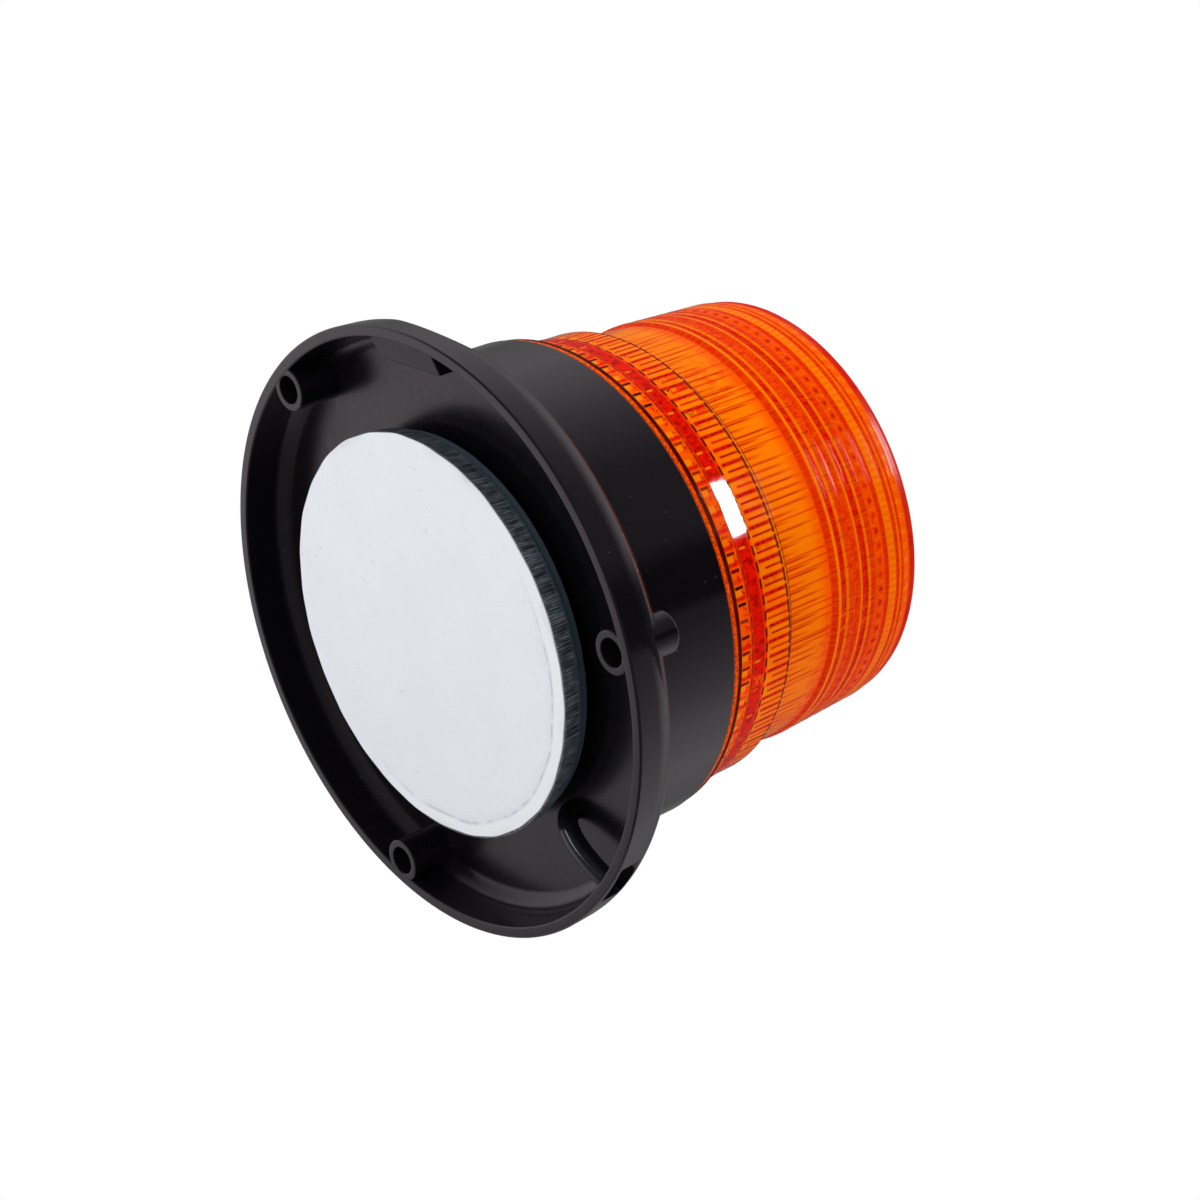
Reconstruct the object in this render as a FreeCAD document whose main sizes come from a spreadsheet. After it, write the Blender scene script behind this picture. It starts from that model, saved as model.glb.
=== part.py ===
import FreeCAD, Part
import math
import os
import Sketcher

# Magnetic strobe beacon: a black bell base on a round magnet, under an amber twist-off lens.
# Millimetres. The origin is the centre of the magnet's contact face, +Z is up along the axis
# and +Y points to the cable outlet.

DRIVING_SIZES = {
    # base moulding
    "rim_diameter": 142.0,
    "rim_width": 2.7,
    "rim_edge_radius": 0.5,
    "magnet_proud": 0.6,
    "flange_height": 13.0,
    "lip_draft": 0.9,
    "shoulder_radius": 7.8,
    "skirt_draft": 0.8,
    "skirt_corner_radius": 4.0,
    "deck_thickness": 2.5,
    "flange_width": 13.7,
    "body_taper": 0.5,
    "body_height": 26.6,
    "body_wall": 2.4,
    "body_foot_radius": 2.0,
    "body_edge_radius": 0.4,
    "floor_corner_radius": 1.5,
    "pedestal_diameter": 62.0,
    # screw bosses in the flange
    "boss_count": 3,
    "boss_inset": 6.0,
    "boss_angle": 40.0,
    "boss_diameter": 10.0,
    "boss_hole": 6.6,
    "boss_stub": 2.0,
    "boss_stub_radius": 0.9,
    # flat panel on the shoulder, with its thickened back
    "panel_angle": 325.0,
    "panel_depth": 1.6,
    "panel_wall": 2.4,
    "panel_back_angle": 322.0,
    "panel_back_width": 29.0,
    # cable outlet
    "outlet_width": 13.0,
    "outlet_sill": 1.8,
    "sleeve_diameter": 4.6,
    "sleeve_bore": 3.0,
    "sleeve_drop": 0.3,
    "sleeve_angle": 94.5,
    "sleeve_collar_diameter": 6.4,
    "sleeve_collar_height": 1.4,
    # magnet
    "magnet_inset": 7.2,
    "magnet_thickness": 5.0,
    "magnet_taper": 0.8,
    "magnet_hole": 19.0,
    "film_thickness": 0.4,
    "film_inset": 0.2,
    "plate_inset": 1.8,
    "plate_thickness": 2.6,
    "plate_edge": 0.4,
    "bolt_diameter": 8.0,
    "bolt_head_diameter": 15.0,
    "bolt_head_height": 3.8,
    "washer_diameter": 20.0,
    "washer_thickness": 1.2,
    "nut_across_corners": 14.4,
    "nut_height": 4.0,
    "bolt_overhang": 0.6,
    # lens
    "lens_flange_inset": 0.4,
    "lens_flange_height": 2.3,
    "lens_flange_width": 1.6,
    "lens_band_step": 0.6,
    "lens_band_draft": 0.2,
    "lens_band_low": 4.6,
    "lens_band_mid": 5.1,
    "lens_band_high": 7.3,
    "lens_neck_slope": 2.8,
    "lens_neck_depth": 4.2,
    "lens_waist_height": 13.0,
    "lens_rib_count": 7,
    "lens_rib_pitch": 3.5,
    "lens_rib_depth": 0.5,
    "lens_rib_bulge": 0.35,
    "lens_rib_taper": 1.5,
    "lens_crown_land": 1.6,
    "lens_crown_radius": 1.7,
    "lens_crown_dome": 0.9,
    "lens_top_thickness": 2.6,
    "flute_count": 90,
    "flute_depth": 0.5,
    "flute_draft": 2.8,
    "cavity_inset": 0.5,
    "lens_skirt_wall": 1.6,
    "lens_skirt_depth": 7.0,
    # twist lock
    "lock_count": 3,
    "lock_angle": 20.0,
    "lock_reach": 2.6,
    "ledge_span": 40.0,
    "ledge_height": 2.2,
    "ledge_below_rim": 1.7,
    "lug_span": 22.0,
    "lug_height": 2.2,
    "stop_span": 6.0,
    "stop_gap": 1.0,
    "running_clearance": 0.3,
    "seat_clearance": 0.1,
    "seal_width": 1.4,
    "seal_thickness": 1.3,
    # circuit board and its pillars
    "board_inset": 6.9,
    "board_thickness": 1.6,
    "bolt_gap": 0.6,
    "pillar_count": 3,
    "pillar_inset": 7.5,
    "pillar_angle": 30.0,
    "post_diameter": 8.0,
    "pillar_across_corners": 7.0,
    "stud_diameter": 3.0,
    "stud_length": 5.0,
    "screw_head_diameter": 5.6,
    "screw_head_height": 2.0,
    # reflector
    "reflector_thickness": 1.2,
    "reflector_lip": 4.5,
    "reflector_inset": 1.7,
    "reflector_clearance": 0.9,
    "reflector_rise": 5.0,
    # flash tube and its holder
    "holder_diameter": 30.0,
    "holder_height": 22.4,
    "socket_depth": 8.0,
    "tube_spacing": 16.0,
    "tube_diameter": 7.0,
    "tube_wall": 1.0,
    "tube_leg": 36.0,
    "cap_diameter": 8.0,
    "cap_height": 5.0,
    "electrode_diameter": 2.0,
    "electrode_length": 9.0,
    "band_count": 3,
    "band_height": 1.6,
    "band_thickness": 0.3,
    "band_pitch": 9.0,
    # parts on the circuit board
    "capacitor_diameter": 16.0,
    "capacitor_length": 27.0,
    "capacitor_reach": 31.0,
    "winding_length": 16.0,
    "winding_width": 14.0,
    "winding_height": 12.0,
    "core_length": 20.0,
    "core_width": 5.0,
    "core_height": 15.0,
    "transformer_x": -27.0,
    "transformer_y": -17.0,
    "trigger_diameter": 9.0,
    "trigger_height": 13.0,
    "trigger_x": 36.0,
    "sink_length": 20.0,
    "sink_depth": 9.0,
    "sink_height": 14.0,
    "sink_wall": 1.5,
    "sink_x": 26.0,
    "sink_y": -21.0,
    "transistor_width": 10.0,
    "transistor_thickness": 4.4,
    "transistor_height": 9.0,
    "chip_length": 10.0,
    "chip_width": 6.4,
    "chip_height": 3.4,
    "chip_y": -24.0,
    "terminal_length": 11.0,
    "terminal_width": 8.0,
    "terminal_height": 10.0,
    "terminal_x": -39.0,
    "terminal_y": 2.0,
    "terminal_screw_diameter": 3.4,
    "terminal_screw_height": 3.0,
    "terminal_pitch": 5.0,
    "resistor_count": 4,
    "resistor_diameter": 2.4,
    "resistor_length": 7.0,
    "resistor_pitch": 4.0,
    "resistor_x": 22.0,
    "resistor_y": -6.0,
}

doc = FreeCAD.newDocument("strobe_beacon")
sheet = doc.addObject("Spreadsheet::Sheet", "Sizes")
for row, (alias, number) in enumerate(DRIVING_SIZES.items(), start=1):
    sheet.set(f"A{row}", alias)
    sheet.set(f"B{row}", str(number))
    sheet.setAlias(f"B{row}", alias)
doc.recompute()


# A number together with the sheet formula that gives it
class Size:

    def __init__(self, value, text):
        self.value = value
        self.text = text

    def joined(self, sign, other, value):
        return Size(value, f"({self.text} {sign} {other.text})")

    def __add__(self, other):
        other = as_size(other)
        return self.joined("+", other, self.value + other.value)

    def __sub__(self, other):
        other = as_size(other)
        return self.joined("-", other, self.value - other.value)

    def __mul__(self, other):
        other = as_size(other)
        return self.joined("*", other, self.value * other.value)

    def __truediv__(self, other):
        other = as_size(other)
        return self.joined("/", other, self.value / other.value)

    def __neg__(self):
        return as_size(0) - self


def as_size(item):
    if isinstance(item, Size):
        return item
    return Size(float(item), repr(float(item)))


def size(alias):
    return Size(float(getattr(sheet, alias)), f"Sizes.{alias}")


def along(radius, angle):
    turn = math.radians(angle.value)
    x = Size(radius.value * math.cos(turn), f"({radius.text} * cos({angle.text}))")
    y = Size(radius.value * math.sin(turn), f"({radius.text} * sin({angle.text}))")
    return x, y


# Heights along the axis, from the contact face up
zero = as_size(0)
film_top = size("film_thickness")
magnet_top = film_top + size("magnet_thickness")
plate_top = magnet_top + size("plate_thickness")
rim_z = size("magnet_proud")
flange_top = rim_z + size("flange_height")
deck_under = flange_top - size("deck_thickness")
body_top = flange_top + size("body_height")
seal_floor = body_top + size("seat_clearance") - size("seal_thickness")
lens_seat = body_top + size("running_clearance")
bolt_tip = (flange_top + size("washer_thickness") + size("nut_height")
            + size("bolt_overhang"))
board_under = bolt_tip + size("bolt_gap")
board_top = board_under + size("board_thickness")
pillar_height = (size("capacitor_diameter") + size("seat_clearance")
                 + size("reflector_clearance"))
reflector_under = board_top + pillar_height
reflector_top = reflector_under + size("reflector_thickness")
holder_top = board_top + size("holder_height")
socket_floor = holder_top - size("socket_depth")
cap_top = socket_floor + size("cap_height")
tube_bend_z = cap_top + size("tube_leg")

# Radii about the axis
rim_r = size("rim_diameter") / 2
rim_inner_r = rim_r - size("rim_width")
lip_top_r = rim_r - size("lip_draft")
skirt_top_r = rim_inner_r - size("skirt_draft")
body_foot_r = rim_r - size("flange_width")
body_top_r = body_foot_r - size("body_taper")
chamber_r = body_top_r - size("body_wall")
pedestal_r = size("pedestal_diameter") / 2
boss_ring_r = rim_r - size("boss_inset")
magnet_r = chamber_r - size("magnet_inset")
plate_r = magnet_r - size("plate_inset")
bolt_r = size("bolt_diameter") / 2
bolt_hole_r = bolt_r + size("seat_clearance")
skirt_r = chamber_r - size("lock_reach")
bore_r = skirt_r - size("lens_skirt_wall")
ledge_r = skirt_r + size("running_clearance")
lug_r = chamber_r - size("running_clearance")
board_r = chamber_r - size("board_inset")
pillar_ring_r = board_r - size("pillar_inset")
reflector_r = bore_r - size("reflector_inset")
holder_r = size("holder_diameter") / 2
tube_r = size("tube_diameter") / 2
cap_r = size("cap_diameter") / 2
leg_x = size("tube_spacing") / 2
sleeve_r = size("sleeve_diameter") / 2
sleeve_bore_r = size("sleeve_bore") / 2
outlet_half_height = sleeve_r + size("seat_clearance")
outlet_z = rim_z + size("outlet_sill") + outlet_half_height
collar_r = size("sleeve_collar_diameter") / 2
sleeve_reach = chamber_r - size("floor_corner_radius") - collar_r - size("seat_clearance")
sleeve_x, sleeve_y = along(sleeve_reach, size("sleeve_angle"))
sleeve_bend = deck_under - outlet_z - size("sleeve_drop")


def bind(item, path, amount):
    item.setExpression(path, as_size(amount).text)


def move(item, x=zero, y=zero, z=zero):
    bind(item, "Placement.Base.x", x)
    bind(item, "Placement.Base.y", y)
    bind(item, "Placement.Base.z", z)
    return item


def origin_of(body, role):
    return next(item for item in body.Origin.OriginFeatures if item.Role == role)


def new_body(label):
    body = doc.addObject("PartDesign::Body", f"{label}_body")
    body.Label = label
    return body


def new_sketch(body, name, plane, height=None, turn=None):
    sketch = body.newObject("Sketcher::SketchObject", name)
    sketch.AttachmentSupport = (origin_of(body, plane), [""])
    sketch.MapMode = "FlatFace"
    if height is not None:
        bind(sketch, "AttachmentOffset.Base.z", height)
    if turn is not None:
        sketch.AttachmentOffset = FreeCAD.Placement(
            FreeCAD.Vector(), FreeCAD.Rotation(FreeCAD.Vector(0, 1, 0), turn.value))
        bind(sketch, "AttachmentOffset.Rotation.Angle", turn)
    return sketch


def pin_point(sketch, geometry, position, x, y):
    for kind, amount, axis in (("DistanceX", x, -2), ("DistanceY", y, -1)):
        if amount.value == 0:
            sketch.addConstraint(Sketcher.Constraint("PointOnObject", geometry, position, axis))
            continue
        index = sketch.addConstraint(
            Sketcher.Constraint(kind, -1, 1, geometry, position, amount.value))
        bind(sketch, f"Constraints[{index}]", amount)


def dome_arc(edge, crown):
    rise = crown.y - edge.y
    radius = (edge.x ** 2 + rise ** 2) / (2 * rise)
    centre = FreeCAD.Vector(0, crown.y - radius, 0)
    circle = Part.Circle(centre, FreeCAD.Vector(0, 0, 1), radius)
    return Part.ArcOfCircle(circle, math.asin((edge.y - centre.y) / radius), math.pi / 2)


# A closed outline of straight sides; the side that starts at corner number dome is an arc
# centred on the axis
def add_outline(sketch, corners, dome=None):
    corners = [(as_size(x), as_size(y)) for x, y in corners]
    points = [FreeCAD.Vector(x.value, y.value, 0) for x, y in corners]
    first = sketch.GeometryCount
    count = len(points)
    for index in range(count):
        following = points[(index + 1) % count]
        if index == dome:
            arc = sketch.addGeometry(dome_arc(points[index], following), False)
            sketch.addConstraint(Sketcher.Constraint("PointOnObject", arc, 3, -2))
            continue
        sketch.addGeometry(Part.LineSegment(points[index], following), False)
    for index in range(count):
        following = first + (index + 1) % count
        sketch.addConstraint(Sketcher.Constraint("Coincident", first + index, 2, following, 1))
    for index, (x, y) in enumerate(corners):
        pin_point(sketch, first + index, 1, x, y)


def add_circle(sketch, radius, x=zero, y=zero):
    centre = FreeCAD.Vector(x.value, y.value, 0)
    ring = sketch.addGeometry(Part.Circle(centre, FreeCAD.Vector(0, 0, 1), radius.value), False)
    pin_point(sketch, ring, 3, x, y)
    index = sketch.addConstraint(Sketcher.Constraint("Radius", ring, radius.value))
    bind(sketch, f"Constraints[{index}]", radius)


def revolve(body, name, corners, turn=None, span=None, dome=None):
    sketch = new_sketch(body, f"{name}_outline", "XZ_Plane", turn=turn)
    add_outline(sketch, corners, dome)
    feature = body.newObject("PartDesign::Revolution", name)
    feature.Profile = sketch
    feature.ReferenceAxis = (sketch, ["V_Axis"])
    if span is None:
        feature.Angle = 360
    else:
        feature.Midplane = True
        bind(feature, "Angle", span)
    doc.recompute()
    return feature


def extrude(body, name, sketch, length, kind="PartDesign::Pad", reversed_way=False, midplane=False):
    feature = body.newObject(kind, name)
    feature.Profile = sketch
    feature.Midplane = midplane
    feature.Reversed = reversed_way
    bind(feature, "Length", length)
    doc.recompute()
    return feature


def ring_of(body, name, features, count):
    pattern = body.newObject("PartDesign::PolarPattern", name)
    pattern.Originals = features
    pattern.Axis = (origin_of(body, "Z_Axis"), [""])
    pattern.Angle = 360
    bind(pattern, "Occurrences", count)
    body.Tip = pattern
    doc.recompute()
    return pattern


def circles_at(feature, radius, height):
    names = []
    for index, edge in enumerate(feature.Shape.Edges, start=1):
        if edge.Degenerated or not isinstance(edge.Curve, Part.Circle):
            continue
        curve = edge.Curve
        if abs(curve.Radius - radius.value) > 0.01:
            continue
        if abs(curve.Center.z - height.value) < 0.01:
            names.append(f"Edge{index}")
    return names


def soften(body, name, feature, radius, height, amount, kind="PartDesign::Fillet"):
    edges = circles_at(feature, radius, height)
    softened = body.newObject(kind, name)
    softened.Base = (feature, edges)
    bind(softened, "Radius" if kind == "PartDesign::Fillet" else "Size", amount)
    doc.recompute()
    return softened


def cylinder(name, radius, height, x=zero, y=zero, z=zero, axis=None):
    item = doc.addObject("Part::Cylinder", name)
    bind(item, "Radius", radius)
    bind(item, "Height", height)
    if axis is not None:
        item.Placement.Rotation = FreeCAD.Rotation(FreeCAD.Vector(0, 0, 1), axis)
    return move(item, x, y, z)


def block(name, length, width, height, x, y, z):
    item = doc.addObject("Part::Box", name)
    bind(item, "Length", length)
    bind(item, "Width", width)
    bind(item, "Height", height)
    return move(item, x - length / 2, y - width / 2, z)


def prism(name, circumradius, height, x, y, z):
    item = doc.addObject("Part::Prism", name)
    item.Polygon = 6
    bind(item, "Circumradius", circumradius)
    bind(item, "Height", height)
    return move(item, x, y, z)


def elbow(name, bend, radius, x, y, z):
    item = doc.addObject("Part::Torus", name)
    bind(item, "Radius1", bend)
    bind(item, "Radius2", radius)
    item.Angle3 = 90
    item.Placement.Rotation = FreeCAD.Rotation(
        FreeCAD.Vector(0, -1, 0), FreeCAD.Vector(0, 0, -1), FreeCAD.Vector(1, 0, 0))
    return move(item, x, y, z)


def fused(label, items):
    whole = doc.addObject("Part::MultiFuse", label)
    whole.Shapes = items
    return whole


def cut(label, base, tool):
    piece = doc.addObject("Part::Cut", label)
    piece.Base = base
    piece.Tool = tool
    return piece


def group(label, items):
    whole = doc.addObject("Part::Compound", label)
    whole.Links = items
    return whole


def ring_places(ring_r, first_angle, count):
    step = as_size(360) / count
    for index in range(int(count.value)):
        yield along(ring_r, first_angle + step * index)


def make_base_housing():
    body = new_body("base_housing")
    rebate_r = body_top_r - size("body_wall") + size("seal_width")
    shell = revolve(body, "shell", [
        (rim_r, rim_z),
        (lip_top_r, flange_top),
        (body_foot_r, flange_top),
        (body_top_r, body_top),
        (rebate_r, body_top),
        (rebate_r, seal_floor),
        (chamber_r, seal_floor),
        (chamber_r, flange_top),
        (bolt_hole_r, flange_top),
        (bolt_hole_r, plate_top),
        (pedestal_r, plate_top),
        (pedestal_r, deck_under),
        (skirt_top_r, deck_under),
        (rim_inner_r, rim_z),
    ])
    shape = shell
    for name, radius, height, amount in (
        ("shoulder", lip_top_r, flange_top, size("shoulder_radius")),
        ("body_foot", body_foot_r, flange_top, size("body_foot_radius")),
        ("skirt_corner", skirt_top_r, deck_under, size("skirt_corner_radius")),
        ("rim_edge", rim_r, rim_z, size("rim_edge_radius")),
        ("body_edge", body_top_r, body_top, size("body_edge_radius")),
        ("floor_corner", chamber_r, flange_top, size("floor_corner_radius")),
    ):
        shape = soften(body, name, shape, radius, height, amount)

    # The flat panel is a plane at 45 degrees that shaves the round shoulder
    shoulder_r = lip_top_r - size("shoulder_radius")
    shoulder_z = flange_top - size("shoulder_radius")
    root_two = math.sqrt(2)
    flat_r = size("shoulder_radius") - size("panel_depth")
    panel_reach = flat_r * root_two
    back_reach = panel_reach - size("panel_wall") * root_two
    core_reach = panel_reach - size("panel_wall") / 2
    back_outline = new_sketch(body, "panel_back_outline", "XZ_Plane",
                              turn=size("panel_back_angle"))
    add_outline(back_outline, [
        (shoulder_r + back_reach, shoulder_z),
        (shoulder_r + flat_r, shoulder_z),
        (shoulder_r + flat_r, shoulder_z + core_reach - flat_r),
        (shoulder_r + core_reach - flat_r, shoulder_z + flat_r),
        (shoulder_r + back_reach - flat_r, shoulder_z + flat_r),
    ])
    extrude(body, "panel_back", back_outline, size("panel_back_width"), midplane=True)
    panel_outline = new_sketch(body, "panel_outline", "XZ_Plane", turn=size("panel_angle"))
    add_outline(panel_outline, [
        (shoulder_r + panel_reach, shoulder_z),
        (rim_r * 1.1, shoulder_z),
        (rim_r * 1.1, shoulder_z + panel_reach),
        (shoulder_r, shoulder_z + panel_reach),
    ])
    extrude(body, "panel", panel_outline, rim_r, kind="PartDesign::Pocket", midplane=True)

    # Screw bosses run from the rim through the flange
    boss_r = size("boss_diameter") / 2
    stub_top = flange_top + size("boss_stub")
    boss_x, boss_y = along(boss_ring_r, size("boss_angle"))
    boss_outline = new_sketch(body, "boss_outline", "XY_Plane", height=rim_z)
    add_circle(boss_outline, boss_r, boss_x, boss_y)
    boss = extrude(body, "boss", boss_outline, stub_top - rim_z)
    bosses = ring_of(body, "bosses", [boss], size("boss_count"))
    soften(body, "boss_edges", bosses, boss_r, stub_top, size("boss_stub_radius"))
    hole_outline = new_sketch(body, "boss_hole_outline", "XY_Plane", height=rim_z)
    add_circle(hole_outline, size("boss_hole") / 2, boss_x, boss_y)
    hole = extrude(body, "boss_hole", hole_outline, stub_top - rim_z, "PartDesign::Pocket", True)
    ring_of(body, "boss_holes", [hole], size("boss_count"))

    # Cable outlet: a slot with round ends through the lip, and a hole in the deck
    outlet_x = size("outlet_width") / 2 - outlet_half_height
    outlet = new_sketch(body, "outlet_outline", "XZ_Plane")
    add_outline(outlet, [
        (-outlet_x, outlet_z - outlet_half_height),
        (outlet_x, outlet_z - outlet_half_height),
        (outlet_x, outlet_z + outlet_half_height),
        (-outlet_x, outlet_z + outlet_half_height),
    ])
    bind(outlet, "AttachmentOffset.Base.z", -(rim_r + size("rim_width")))
    slot_depth = size("rim_width") * 3
    extrude(body, "outlet", outlet, slot_depth, "PartDesign::Pocket", True)
    ends = new_sketch(body, "outlet_ends", "XZ_Plane")
    add_circle(ends, outlet_half_height, outlet_x, outlet_z)
    add_circle(ends, outlet_half_height, -outlet_x, outlet_z)
    bind(ends, "AttachmentOffset.Base.z", -(rim_r + size("rim_width")))
    extrude(body, "outlet_round_ends", ends, slot_depth, "PartDesign::Pocket", True)
    deck_hole = new_sketch(body, "deck_hole_outline", "XY_Plane", height=deck_under)
    add_circle(deck_hole, sleeve_r + size("seat_clearance"), sleeve_x, sleeve_y)
    extrude(body, "deck_hole", deck_hole, size("deck_thickness"), "PartDesign::Pocket", True)

    # Posts that carry the circuit board
    post_x, post_y = along(pillar_ring_r, size("pillar_angle"))
    post_outline = new_sketch(body, "post_outline", "XY_Plane", height=flange_top)
    add_circle(post_outline, size("post_diameter") / 2, post_x, post_y)
    post = extrude(body, "post", post_outline, board_under - flange_top)
    ring_of(body, "posts", [post], size("pillar_count"))
    pilot_outline = new_sketch(body, "pilot_outline", "XY_Plane", height=board_under)
    add_circle(pilot_outline, size("stud_diameter") / 2 + size("seat_clearance"), post_x, post_y)
    pilot = extrude(body, "pilot", pilot_outline, size("stud_length"), "PartDesign::Pocket")
    ring_of(body, "pilots", [pilot], size("pillar_count"))

    # Ledges that hold the lens lugs down, each with a stop at its end
    ledge_top = body_top - size("ledge_below_rim")
    ledge_under = ledge_top - size("ledge_height")
    wall_r = chamber_r + size("body_wall") / 4
    ledge = revolve(body, "ledge", [
        (ledge_r, ledge_under),
        (wall_r, ledge_under),
        (wall_r, ledge_top),
        (ledge_r, ledge_top),
    ], size("lock_angle"), size("ledge_span"))
    stop_turn = (size("lock_angle") - size("lug_span") / 2 - size("stop_gap")
                 - size("stop_span") / 2)
    stop_depth = size("lug_height") + size("running_clearance")
    stop = revolve(body, "stop", [
        (ledge_r, ledge_under - stop_depth),
        (wall_r, ledge_under - stop_depth),
        (wall_r, ledge_under),
        (ledge_r, ledge_under),
    ], stop_turn, size("stop_span"))
    ring_of(body, "ledges", [ledge, stop], size("lock_count"))
    return body


def lens_outline():
    flange_r = body_top_r - size("lens_flange_inset")
    wall_r = flange_r - size("lens_flange_width")
    waist_r = wall_r - size("lens_neck_depth")
    step = size("lens_band_step")
    draft = size("lens_band_draft")
    skirt_low = lens_seat - size("lens_skirt_depth")
    flange_high = lens_seat + size("lens_flange_height")
    corners = [
        (bore_r, skirt_low),
        (skirt_r, skirt_low),
        (skirt_r, lens_seat),
        (flange_r, lens_seat),
        (flange_r - draft, flange_high),
    ]
    z = flange_high
    radius = wall_r
    for height in (size("lens_band_low"), size("lens_band_mid"), size("lens_band_high")):
        corners.append((radius, z))
        z = z + height
        corners.append((radius - draft, z))
        radius = radius - step
    z = z + size("lens_neck_slope")
    corners.append((waist_r, z))
    z = z + size("lens_waist_height")
    corners.append((waist_r - draft, z))
    count = int(size("lens_rib_count").value)
    pitch = size("lens_rib_pitch")
    for index in range(count):
        crest_r = waist_r + size("lens_rib_bulge") - size("lens_rib_taper") * index / count
        corners.append((crest_r, z + pitch * 0.25))
        corners.append((crest_r, z + pitch * 0.8))
        z = z + pitch
        corners.append((crest_r - size("lens_rib_depth"), z))
    crown_r = crest_r - size("lens_rib_depth")
    z = z + size("lens_crown_radius") + size("lens_crown_land")
    corners.append((crown_r, z))
    corners.append((zero, z + size("lens_crown_dome")))
    corners.append((zero, flange_high))
    corners.append((bore_r, flange_high))
    return corners, flange_high, waist_r, crown_r, z


def flute_wire(radius, depth, count, z):
    points = []
    for index in range(2 * count):
        reach = radius if index % 2 == 0 else radius - depth
        turn = math.pi * index / count
        points.append(FreeCAD.Vector(reach * math.cos(turn), reach * math.sin(turn), z))
    points.append(points[0])
    return Part.makePolygon(points)


def make_lens():
    corners, cavity_floor, waist_r, crown_r, crown_z = lens_outline()
    body = new_body("lens_blank")
    crown_edge = next(index for index, corner in enumerate(corners) if corner == (crown_r, crown_z))
    dome = revolve(body, "dome", corners, dome=crown_edge)
    soften(body, "crown", dome, crown_r, crown_z, size("lens_crown_radius"))
    lug_top = (body_top - size("ledge_below_rim") - size("ledge_height")
               - size("running_clearance"))
    inside_r = skirt_r - size("lens_skirt_wall") / 2
    lug = revolve(body, "lug", [
        (inside_r, lug_top - size("lug_height")),
        (lug_r, lug_top - size("lug_height")),
        (lug_r, lug_top),
        (inside_r, lug_top),
    ], size("lock_angle"), size("lug_span"))
    ring_of(body, "lugs", [lug], size("lock_count"))

    # The cavity has V flutes down its whole wall, drawn in towards the top
    cavity_top = crown_z - size("lens_top_thickness")
    depth = size("flute_depth").value
    count = int(size("flute_count").value)
    low_z = cavity_floor - size("lens_flange_height") / 2
    low_r = waist_r - size("cavity_inset")
    high_r = low_r - size("flute_draft")
    cavity = doc.addObject("Part::Feature", "fluted_cavity")
    cavity.Shape = Part.makeLoft([
        flute_wire(low_r.value, depth, count, low_z.value),
        flute_wire(high_r.value, depth, count, cavity_top.value),
    ], True, True)
    return cut("lens", body, cavity)


def make_lens_seal():
    body = new_body("lens_seal")
    inner_r = chamber_r + size("seat_clearance")
    outer_r = chamber_r + size("seal_width") - size("seat_clearance")
    revolve(body, "ring", [
        (inner_r, seal_floor),
        (outer_r, seal_floor),
        (outer_r, seal_floor + size("seal_thickness")),
        (inner_r, seal_floor + size("seal_thickness")),
    ])
    return body


def make_magnet():
    film_r = magnet_r - size("film_inset")
    film = cylinder("magnet_film", film_r, film_top)

    ring = new_body("magnet_ring")
    hole_r = size("magnet_hole") / 2
    revolve(ring, "ferrite", [
        (hole_r, film_top),
        (magnet_r, film_top),
        (magnet_r - size("magnet_taper"), magnet_top),
        (hole_r, magnet_top),
    ])

    plate = new_body("magnet_plate")
    edge = size("plate_edge")
    revolve(plate, "disc", [
        (bolt_hole_r, magnet_top),
        (plate_r - edge, magnet_top),
        (plate_r, magnet_top + edge),
        (plate_r, plate_top - edge),
        (plate_r - edge, plate_top),
        (bolt_hole_r, plate_top),
    ])

    bolt = new_body("magnet_bolt")
    head_r = size("bolt_head_diameter") / 2
    revolve(bolt, "shank", [
        (zero, magnet_top - size("bolt_head_height")),
        (head_r, magnet_top - size("bolt_head_height")),
        (head_r, magnet_top),
        (bolt_r, magnet_top),
        (bolt_r, bolt_tip),
        (zero, bolt_tip),
    ])

    washer = new_body("magnet_washer")
    washer_top = flange_top + size("washer_thickness")
    revolve(washer, "ring", [
        (bolt_hole_r, flange_top),
        (size("washer_diameter") / 2, flange_top),
        (size("washer_diameter") / 2, washer_top),
        (bolt_hole_r, washer_top),
    ])

    blank = prism("nut_blank", size("nut_across_corners") / 2, size("nut_height"),
                  zero, zero, washer_top)
    thread = cylinder("nut_thread", bolt_hole_r, size("nut_height"), z=washer_top)
    nut = cut("magnet_nut", blank, thread)
    return [film, ring, plate, bolt, washer, nut]


def make_cable_sleeve():
    top = flange_top + size("sleeve_collar_height")
    bend_z = outlet_z + sleeve_bend
    run_y = sleeve_y + sleeve_bend
    run = rim_r - size("rim_width") / 4 - run_y
    outward = FreeCAD.Vector(0, 1, 0)

    def tube(name, radius):
        return fused(name, [
            cylinder(f"{name}_riser", radius, top - bend_z, sleeve_x, sleeve_y, bend_z),
            elbow(f"{name}_elbow", sleeve_bend, radius, sleeve_x, run_y, bend_z),
            cylinder(f"{name}_run", radius, run, sleeve_x, run_y, outlet_z, outward),
        ])

    collar = cylinder("sleeve_collar", collar_r, size("sleeve_collar_height"),
                      sleeve_x, sleeve_y, flange_top)
    outside = fused("sleeve_outside", [tube("sleeve_wall", sleeve_r), collar])
    return cut("cable_sleeve", outside, tube("sleeve_inside", sleeve_bore_r))


def make_circuit_board():
    body = new_body("circuit_board")
    outline = new_sketch(body, "board_outline", "XY_Plane", height=board_under)
    add_circle(outline, board_r)
    extrude(body, "board", outline, size("board_thickness"))
    x, y = along(pillar_ring_r, size("pillar_angle"))
    hole_outline = new_sketch(body, "hole_outline", "XY_Plane", height=board_under)
    add_circle(hole_outline, size("stud_diameter") / 2 + size("seat_clearance"), x, y)
    hole = extrude(body, "hole", hole_outline, size("board_thickness"), "PartDesign::Pocket", True)
    ring_of(body, "holes", [hole], size("pillar_count"))
    return body


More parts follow.
